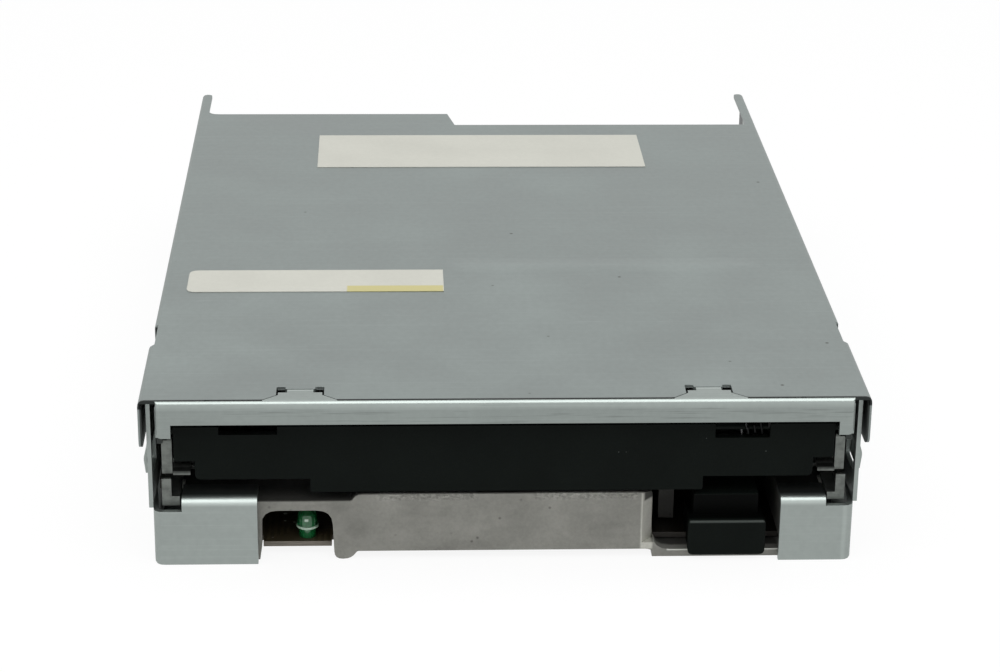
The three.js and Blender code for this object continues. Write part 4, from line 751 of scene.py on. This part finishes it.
def spring_tree():
    """A helix of round wire that starts level with the point and runs up by its length."""
    made = Growth("spring_growth", Coil=0.001, Length=0.01, Turns=5.0, Wire=0.0002, Reverse=False)
    given = made.given
    path = made.geometry("CurveSpiral", {
        "Resolution": 24, "Rotations": given["Turns"], "Start Radius": given["Coil"],
        "End Radius": given["Coil"], "Height": given["Length"], "Reverse": given["Reverse"]})
    section = made.geometry("CurvePrimitiveCircle", {"Resolution": 10, "Radius": given["Wire"]})
    wire = made.geometry("CurveToMesh", {"Curve": path, "Profile Curve": section, "Fill Caps": True})
    return made.close(wire)


def screw_tree():
    """A screw from the outer face of its head upwards, with a cross cut half-way into it."""
    made = Growth("screw_growth", Outer=0.002, Inner=0.002, Head=0.001, Shank=0.001, Length=0.005,
                  Slot=0.0004)
    given = made.given
    bar_share, shank_start = 1.2, 0.8
    long = made.times(given["Outer"], bar_share)
    cross = made.add("GeometryNodeMeshBoolean", {
        "Mesh 1": made.frustum(given["Outer"], given["Inner"], given["Head"])},
        operation="DIFFERENCE", solver="EXACT")
    for bar in ((long, given["Slot"]), (given["Slot"], long)):
        made.feed(cross.inputs["Mesh 2"], made.cube(*bar, given["Head"]))
    shank = made.geometry("Transform", {
        "Geometry": made.frustum(given["Shank"], given["Shank"], given["Length"]),
        "Translation": made.vector(z=made.times(given["Head"], shank_start))})
    return made.close(made.joined(cross.outputs["Mesh"], shank))


def joint_tree():
    """Solder joints on a grid: a cone with the clipped end of a lead in it."""
    made = Growth("joint_growth", Columns=2, Rows=2, Wide=0.01, Deep=0.01, Foot=0.0008, Rise=0.0007)
    given = made.given
    neck, lead_root, lead_tip = (made.times(given["Foot"], share) for share in (0.45, 0.36, 0.3))
    cone = made.frustum(given["Foot"], neck, made.times(given["Rise"], 0.7))
    lead = made.frustum(lead_root, lead_tip, given["Rise"])
    return made.close(made.placed(made.grid(given["Columns"], given["Rows"]), made.joined(cone, lead)))


def lead_tree():
    """Flat leads on a grid, as they stand out of a chip's sides."""
    made = Growth("lead_growth", Columns=8, Rows=2, Wide=0.01, Deep=0.01, Thick=0.0004, Reach=0.0012,
                  Tall=0.0008)
    given = made.given
    bar = made.cube(given["Thick"], given["Reach"], given["Tall"])
    return made.close(made.placed(made.grid(given["Columns"], given["Rows"]), bar))


def part_tree():
    """Small surface-mounted parts strewn over a field from a fixed seed, each turned by a quarter or
    left as it is."""
    made = Growth("part_growth", Wide=0.01, Deep=0.01, Long=0.0016, Broad=0.0008, Tall=0.0005, Seed=4)
    given = made.given
    least_gap, most_per_square_metre = 4.2 * MM, 60000.0
    spots = made.geometry("DistributePointsOnFaces", {
        "Mesh": made.grid(2, 2), "Distance Min": least_gap, "Density Max": most_per_square_metre,
        "Seed": given["Seed"]}, output="Points", distribute_method="POISSON")
    quarter = made.add("FunctionNodeRandomValue", {
        "Min": 0, "Max": 1, "Seed": given["Seed"]}, data_type="INT")
    turn = made.vector(z=made.times(quarter.outputs[2], math.pi / 2))
    body = made.cube(given["Long"], given["Broad"], given["Tall"])
    return made.close(made.placed(spots, body, turn))


TREES = {
    "spring": spring_tree,
    "screw": screw_tree,
    "joint": joint_tree,
    "lead": lead_tree,
    "part": part_tree,
}


def grown(name, kind, node, maker, points, stretch=None, **values):
    """A piece that a geometry tree makes at points in millimetres. It moves with a node's body, or
    stretches between two bodies from a start to an end."""
    tree = bpy.data.node_groups.get(kind + "_growth") or TREES[kind]()
    mesh = bpy.data.meshes.new(name)
    mesh.from_pydata([tuple(part * MM for part in point) for point in points], [], [])
    piece = bpy.data.objects.new(name, mesh)
    show(piece)
    growth = piece.modifiers.new("Growth", "NODES")
    growth.node_group = tree
    values["Material"] = finish(maker)
    for item in tree.interface.items_tree:
        if item.in_out == "INPUT" and item.name in values:
            growth[item.identifier] = values[item.name]
    applied(piece)
    smooth(piece.data, 40)
    if stretch:
        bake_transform(piece, *stretch)
    else:
        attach(piece, body_of(NODES[node])[0])
    return piece


def in_metres(sizes):
    return {label: size * MM for label, size in sizes.items()}


class DressCover(bpy.types.Operator):
    """Finish the folded top cover"""
    bl_idname = "drive.dress_cover"
    bl_label = "Top Cover"

    def execute(self, context):
        dressed("top_cover", cover_sheet, context.scene.drive_edges.sheet, segments=3)
        return {"FINISHED"}


class DressLip(bpy.types.Operator):
    """Finish the bent lip across the front"""
    bl_idname = "drive.dress_lip"
    bl_label = "Front Lip"

    def execute(self, context):
        dressed("front_lip", lip_sheet, context.scene.drive_edges.sheet, segments=3)
        return {"FINISHED"}


class DressSheetMetal(bpy.types.Operator):
    """Finish the side frames, the disk holder, the eject slider and the motor bracket"""
    bl_idname = "drive.dress_sheet_metal"
    bl_label = "Frames and Sheet Parts"

    makers = {
        "left_frame": frame_sheet,
        "right_frame": frame_sheet,
        "disk_holder": inner_sheet,
        "eject_slider": inner_sheet,
        "motor_bracket": plain_sheet,
    }

    def execute(self, context):
        for node, maker in self.makers.items():
            dressed(node, maker, context.scene.drive_edges.sheet)
        return {"FINISHED"}


class DressCasting(bpy.types.Operator):
    """Finish the die-cast deck and front block"""
    bl_idname = "drive.dress_casting"
    bl_label = "Casting"

    def execute(self, context):
        dressed("chassis_casting", cast_metal, context.scene.drive_edges.cast)
        return {"FINISHED"}


class DressMouldings(bpy.types.Operator):
    """Finish the black mouldings: flap, button, levers, clamps, carriage and switches"""
    bl_idname = "drive.dress_mouldings"
    bl_label = "Black Mouldings"

    nodes = (
        "door_flap", "eject_button", "trigger_lever", "rod_clamp_front", "rod_clamp_rear",
        "head_carriage", "upper_head_arm", "write_protect_switch", "density_switch",
        "write_protect_plunger", "density_plunger",
    )

    def execute(self, context):
        for node in self.nodes:
            dressed(node, black_moulding, context.scene.drive_edges.plastic, segments=3)
        return {"FINISHED"}


class DressTurned(bpy.types.Operator):
    """Finish the rods, pins, bearings, the spindle and the motors"""
    bl_idname = "drive.dress_turned"
    bl_label = "Turned Parts and Motors"

    def execute(self, context):
        turned = {
            bright_steel: ["guide_rod", "arm_hinge_pin", "spindle_shaft"]
            + [f"cam_pin_{row}_{side}" for row in FRONT_REAR for side in LEFT_RIGHT],
            motor_can: ["spindle_hub", "rotor_cup", "stepper_motor", "capacitor_can"],
            turned_brass: ["spindle_bearing", "lead_screw"],
            ferrite: ["rotor_magnet"],
        }
        for maker, nodes in turned.items():
            for node in nodes:
                dressed(node, maker, context.scene.drive_edges.turned)
        stator = dressed("stator_core", motor_can, context.scene.drive_edges.small)
        middle = middle_of("stator_core")
        inner, outer = WINDING_RADII
        repaint(stator, copper_winding,
                lambda at, normal: inner < (at - middle).to_2d().length < outer)
        return {"FINISHED"}


class DressElectrical(bpy.types.Operator):
    """Finish the board, chips, sockets, sensor, lamp and head pads"""
    bl_idname = "drive.dress_electrical"
    bl_label = "Board and Sockets"

    makers = {
        "controller_chip": chip_epoxy,
        "driver_chip": chip_epoxy,
        "track_sensor": chip_epoxy,
        "lower_head": ivory_nylon,
        "upper_head": ivory_nylon,
        "screw_bearing": ivory_nylon,
    }

    def execute(self, context):
        small = context.scene.drive_edges.small
        board = dressed("circuit_board", board_lacquer, small)
        level = 0.9
        repaint(board, bare_laminate, lambda at, normal: abs(normal.z) < level)
        for node, maker in self.makers.items():
            dressed(node, maker, small)
        header = dressed("signal_header", chip_epoxy, small)
        body_inset = 0.95
        body_rear = box_of("circuit_board")[1].y - body_inset
        repaint(header, tinned, lambda at, normal: at.y > body_rear)
        power = dressed("power_connector", ivory_nylon, small)
        repaint(power, tinned, self.is_power_pin)
        dressed("indicator_lamp", lens_plastic, small)
        return {"FINISHED"}

    def is_power_pin(self, at, normal):
        """True on the sides of the pins that stand inside the socket's shroud."""
        low, high = box_of("power_connector")
        pin_height, half_thickness, wall, rim = 3.2, 0.5, 0.9, 1.4
        shroud_floor = low.y + (high.y - low.y) * 0.25
        level = abs(at.z - low.z - pin_height) < half_thickness
        within = low.x + wall < at.x < high.x - wall and shroud_floor < at.y < high.y - rim
        return level and within and (normal.x != 0 or normal.z != 0)


class DressSprings(bpy.types.Operator):
    """Wind the slider's and the lever's springs, and finish the flap's"""
    bl_idname = "drive.dress_springs"
    bl_label = "Springs"

    # Radius of the wire in millimetres and number of turns.
    slider_spring = (0.25, 9.0)
    lever_spring = (0.18, 2.0)

    def execute(self, context):
        wire_edge = context.scene.drive_edges.small * 0.2
        dressed("flap_spring", sprung_wire, wire_edge, segments=1, angle=80)
        for side in LEFT_RIGHT:
            self.wind("slider_spring_" + side, 1, self.slider_spring, (-math.pi / 2, 0, 0))
        self.wind("trigger_spring", 2, self.lever_spring, (0, 0, 0))
        return {"FINISHED"}

    def wind(self, node, axis, shape, turn):
        """A round-wire helix in the place of a CAD spring that lies along an axis."""
        wire, turns = shape
        low, high = box_of(node)
        start = (low + high) / 2
        start[axis] = low[axis] + wire
        along_drive = axis == 1
        stretch = None
        if along_drive:
            stretch = ("chassis", "slider", (0, low.y * MM, 0), (0, high.y * MM, 0))
        sizes = {"Coil": (high - low)[0] / 2 - wire, "Length": (high - low)[axis] - 2 * wire, "Wire": wire}
        spring = grown("wound_" + node, "spring", node, bright_steel, [start], stretch=stretch,
                       Turns=turns, Reverse=along_drive, Turn=turn, **in_metres(sizes))
        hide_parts(node)


class DressStickers(bpy.types.Operator):
    """Finish the two bare stickers on the cover"""
    bl_idname = "drive.dress_stickers"
    bl_label = "Stickers"

    edge = 0.02 * MM

    def execute(self, context):
        dressed("large_label", plain_paper, self.edge)
        dressed("small_label", striped_paper, self.edge)
        return {"FINISHED"}


class DressScrews(bpy.types.Operator):
    """Make the screws under the board and in the frames, with their cross cuts"""
    bl_idname = "drive.dress_screws"
    bl_label = "Screws"

    shapes = {
        "board": {"Outer": 1.6, "Inner": 2.1, "Head": 0.8, "Shank": 1.2, "Length": 5.1, "Slot": 0.5},
        "frame": {"Outer": 2.0, "Inner": 1.2, "Head": 0.7, "Shank": 1.2, "Length": 5.1, "Slot": 0.45},
    }

    def execute(self, context):
        for kind, sizes in self.shapes.items():
            for row in FRONT_REAR:
                for side in LEFT_RIGHT:
                    self.screw(f"{kind}_screw_{row}_{side}", sizes)
        return {"FINISHED"}

    def screw(self, node, sizes):
        place = middle_of(node)
        place.z = box_of(node)[0].z
        piece = grown("turned_" + node, "screw", node, tinned, [place], **in_metres(sizes))
        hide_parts(node)


class DressBoard(bpy.types.Operator):
    """Add the solder joints, the chips' leads and the small parts of the board"""
    bl_idname = "drive.dress_board"
    bl_label = "Board Details"

    joint = {"Foot": 0.75, "Rise": 0.8}
    lead = {"Thick": 0.4, "Reach": 1.4, "Tall": 0.8}
    part_ends = {"Long": 2.0, "Broad": 1.2, "Tall": 0.5}
    part_bodies = {"Long": 1.2, "Broad": 1.26, "Tall": 0.56}

    def execute(self, context):
        low, high = box_of("circuit_board")
        self.joints(low, high)
        self.leads(high)
        self.small_parts(low, high)
        return {"FINISHED"}

    def joints(self, low, high):
        """Joints under the board for the sockets, the capacitor, the lamp, the sensor and the switches."""
        sunk = 0.02
        header_columns, header_pitch, power_pins, power_pitch = 17, 2.54, 4, 2.5
        header, power, can, lamp, sensor, left_switch, right_switch = (middle_of(node) for node in (
            "signal_header", "power_connector", "capacitor_can", "indicator_lamp", "track_sensor",
            "write_protect_switch", "density_switch"))
        # Middle of each group, its columns and rows, and how wide and deep its grid is.
        groups = {
            "header": ((header.x, high.y - 2.6), header_columns, 2,
                       (header_columns - 1) * header_pitch, header_pitch),
            "power": ((power.x, high.y - 3.6), power_pins, 1, (power_pins - 1) * power_pitch, 0),
            "capacitor": (can.xy, 2, 1, 2.5, 0),
            "lamp": ((lamp.x, lamp.y + 1.6), 2, 1, 2.54, 0),
            "sensor": (sensor.xy, 2, 2, 4.4, 4.6),
            "left_switch": (left_switch.xy, 2, 2, 4.2, 3.4),
            "right_switch": (right_switch.xy, 2, 2, 4.2, 3.4),
        }
        for name, (place, columns, rows, wide, deep) in groups.items():
            grown(name + "_joints", "joint", "circuit_board", tinned, [(*place, low.z + sunk)],
                  Columns=columns, Rows=rows, Turn=(math.pi, 0, 0),
                  **in_metres({"Wide": wide, "Deep": deep, **self.joint}))

    def leads(self, high):
        """Rows of leads at both ends of the driver and all round the controller."""
        rise, pitch = 0.42, 1.0
        controller, driver = middle_of("controller_chip"), middle_of("driver_chip")
        # Middle of each group, leads along a side, distance between the sides, and turn.
        rows = {
            "controller_ends": (controller, 11, 12.8, 0),
            "controller_sides": (controller, 11, 12.8, math.pi / 2),
            "driver_ends": (driver, 7, 6.8, 0),
        }
        for name, (place, columns, across, turn) in rows.items():
            grown(name, "lead", "circuit_board", tinned, [(place.x, place.y, high.z + rise)],
                  Columns=columns, Rows=2, Turn=(0, 0, turn),
                  **in_metres({"Wide": (columns - 1) * pitch, "Deep": across, **self.lead}))

    def small_parts(self, low, high):
        """Chip resistors and capacitors on both faces: dark bodies with tinned ends."""
        sunk, first_seed = 0.2, 3
        middle = (low.y + high.y) / 2
        # Middle of each field, its width and its depth.
        fields = {
            "under_front": ((0, middle - 32, low.z - sunk), 56, 24),
            "under_rear": ((0, middle + 22, low.z - sunk), 60, 40),
            "rear_strip": ((-6, high.y - 8.5, high.z + sunk), 22, 5),
        }
        kinds = {"ends": (tinned, self.part_ends), "bodies": (chip_epoxy, self.part_bodies)}
        for seed, (name, (place, wide, deep)) in enumerate(fields.items(), first_seed):
            for kind, (maker, sizes) in kinds.items():
                grown(f"{name}_{kind}", "part", "circuit_board", maker, [place], Seed=seed,
                      **in_metres({"Wide": wide, "Deep": deep, **sizes}))


class SetStage(bpy.types.Operator):
    """Lay the floor and set the lights and the camera"""
    bl_idname = "drive.set_stage"
    bl_label = "Stage"

    # Place and size of each light in metres, and the setting that holds its power.
    lights = {
        "key_light": ((0, -0.18, 0.80), (1.6, 1.4), "key"),
        "left_light": ((-0.75, -0.15, 0.35), (0.5, 0.5), "fill"),
        "right_light": ((0.75, -0.15, 0.35), (0.5, 0.5), "fill"),
    }
    lit_spot = Vector((0, 0, 0.01))
    floor_half = 2.0
    floor_white = 0.9

    def execute(self, context):
        stage = context.scene.drive_stage
        self.floor(stage)
        self.surroundings(context, stage)
        for name, (place, size, power) in self.lights.items():
            self.lamp(name, Vector(place), size, getattr(stage, power))
        self.camera(context, stage)
        context.scene.view_settings.view_transform = "Standard"
        return {"FINISHED"}

    def shown_white(self, graph):
        """1 for the rays that see the background straight, in a reflection or through glass."""
        path = graph.add("ShaderNodeLightPath")
        seen = path.outputs["Is Camera Ray"]
        for ray in ("Is Glossy Ray", "Is Transmission Ray"):
            either = graph.add("ShaderNodeMath", {0: seen, 1: path.outputs[ray]}, operation="MAXIMUM")
            seen = either.outputs["Value"]
        return seen

    def floor(self, stage):
        half = self.floor_half
        corners = [(-half, -half, 0), (half, -half, 0), (half, half, 0), (-half, half, 0)]
        mesh = bpy.data.meshes.new("floor")
        mesh.from_pydata(corners, [], [(0, 1, 2, 3)])
        floor = bpy.data.objects.new("floor", mesh)
        show(floor)
        material = bpy.data.materials.new("floor_paper")
        material.use_nodes = True
        graph = Graph(material.node_tree)
        matt = graph.tree.nodes["Principled BSDF"]
        matt.inputs["Base Color"].default_value = stage.floor
        matt.inputs["Roughness"].default_value = 1.0
        matt.inputs["Specular IOR Level"].default_value = 0.0
        white = graph.add("ShaderNodeEmission", {"Strength": 1.0})
        share = graph.add("ShaderNodeMath", {
            0: self.shown_white(graph), 1: self.floor_white}, operation="MULTIPLY")
        mixed = graph.add("ShaderNodeMixShader", {
            0: share.outputs[0], 1: matt.outputs[0], 2: white.outputs[0]})
        graph.feed(graph.tree.nodes["Material Output"].inputs["Surface"], mixed.outputs[0])
        mesh.materials.append(material)

    def surroundings(self, context, stage):
        world = bpy.data.worlds.new("surroundings")
        world.use_nodes = True
        context.scene.world = world
        graph = Graph(world.node_tree)
        strength = graph.add("ShaderNodeMapRange", {
            "Value": self.shown_white(graph), "To Min": stage.ambient})
        background = graph.tree.nodes["Background"]
        background.inputs["Color"].default_value = (1, 1, 1, 1)
        graph.feed(background.inputs["Strength"], strength.outputs["Result"])

    def lamp(self, name, place, size, power):
        light = bpy.data.lights.new(name, "AREA")
        light.shape = "RECTANGLE"
        light.size, light.size_y = size
        light.energy = power
        lamp = bpy.data.objects.new(name, light)
        lamp.location = place
        lamp.rotation_euler = (self.lit_spot - place).to_track_quat("-Z", "Y").to_euler()
        show(lamp)

    def camera(self, context, stage):
        """Stands the camera where the photograph was taken from, by its tilt, turn and roll."""
        data = bpy.data.cameras.new("photo_camera")
        data.lens = stage.lens
        data.clip_start = 0.01
        camera = bpy.data.objects.new("photo_camera", data)
        down, aside, roll = stage.turn
        level = math.cos(down)
        ahead = Vector((math.sin(aside) * level, math.cos(aside) * level, -math.sin(down)))
        right = Vector((math.cos(aside), -math.sin(aside), 0))
        up = right.cross(ahead)
        across = math.cos(roll) * right + math.sin(roll) * up
        upward = -math.sin(roll) * right + math.cos(roll) * up
        axes = Matrix((across, upward, -ahead)).transposed()
        camera.matrix_world = Matrix.Translation(stage.stand) @ axes.to_4x4()
        show(camera)
        context.scene.camera = camera


PIECES = (DressCover, DressLip, DressSheetMetal, DressCasting, DressMouldings, DressTurned, DressElectrical,
          DressSprings, DressStickers, DressScrews, DressBoard)


class DrivePanel(bpy.types.Panel):
    bl_idname = "VIEW3D_PT_floppy_drive"
    bl_label = "Floppy Drive"
    bl_space_type = "VIEW_3D"
    bl_region_type = "UI"
    bl_category = "Floppy Drive"

    def draw(self, context):
        for group in GROUPS:
            box = self.layout.box()
            owner = getattr(context.scene, group)
            for name in owner.__annotations__:
                box.prop(owner, name)
        for operator in (*PIECES, SetStage):
            self.layout.operator(operator.bl_idname)


GROUPS = {"drive_finishes": DriveFinishes, "drive_edges": DriveEdges, "drive_stage": DriveStage}


def register():
    for entry in (*GROUPS.values(), *PIECES, SetStage, DrivePanel):
        bpy.utils.register_class(entry)
    for name, group in GROUPS.items():
        setattr(bpy.types.Scene, name, bpy.props.PointerProperty(type=group))


def unregister():
    for name in GROUPS:
        delattr(bpy.types.Scene, name)
    for entry in (DrivePanel, SetStage, *reversed(PIECES), *GROUPS.values()):
        bpy.utils.unregister_class(entry)


def main():
    register()
    for operator in (SetStage, *PIECES):
        group, name = operator.bl_idname.split(".")
        getattr(getattr(bpy.ops, group), name)()


if __name__ == "__main__":
    main()
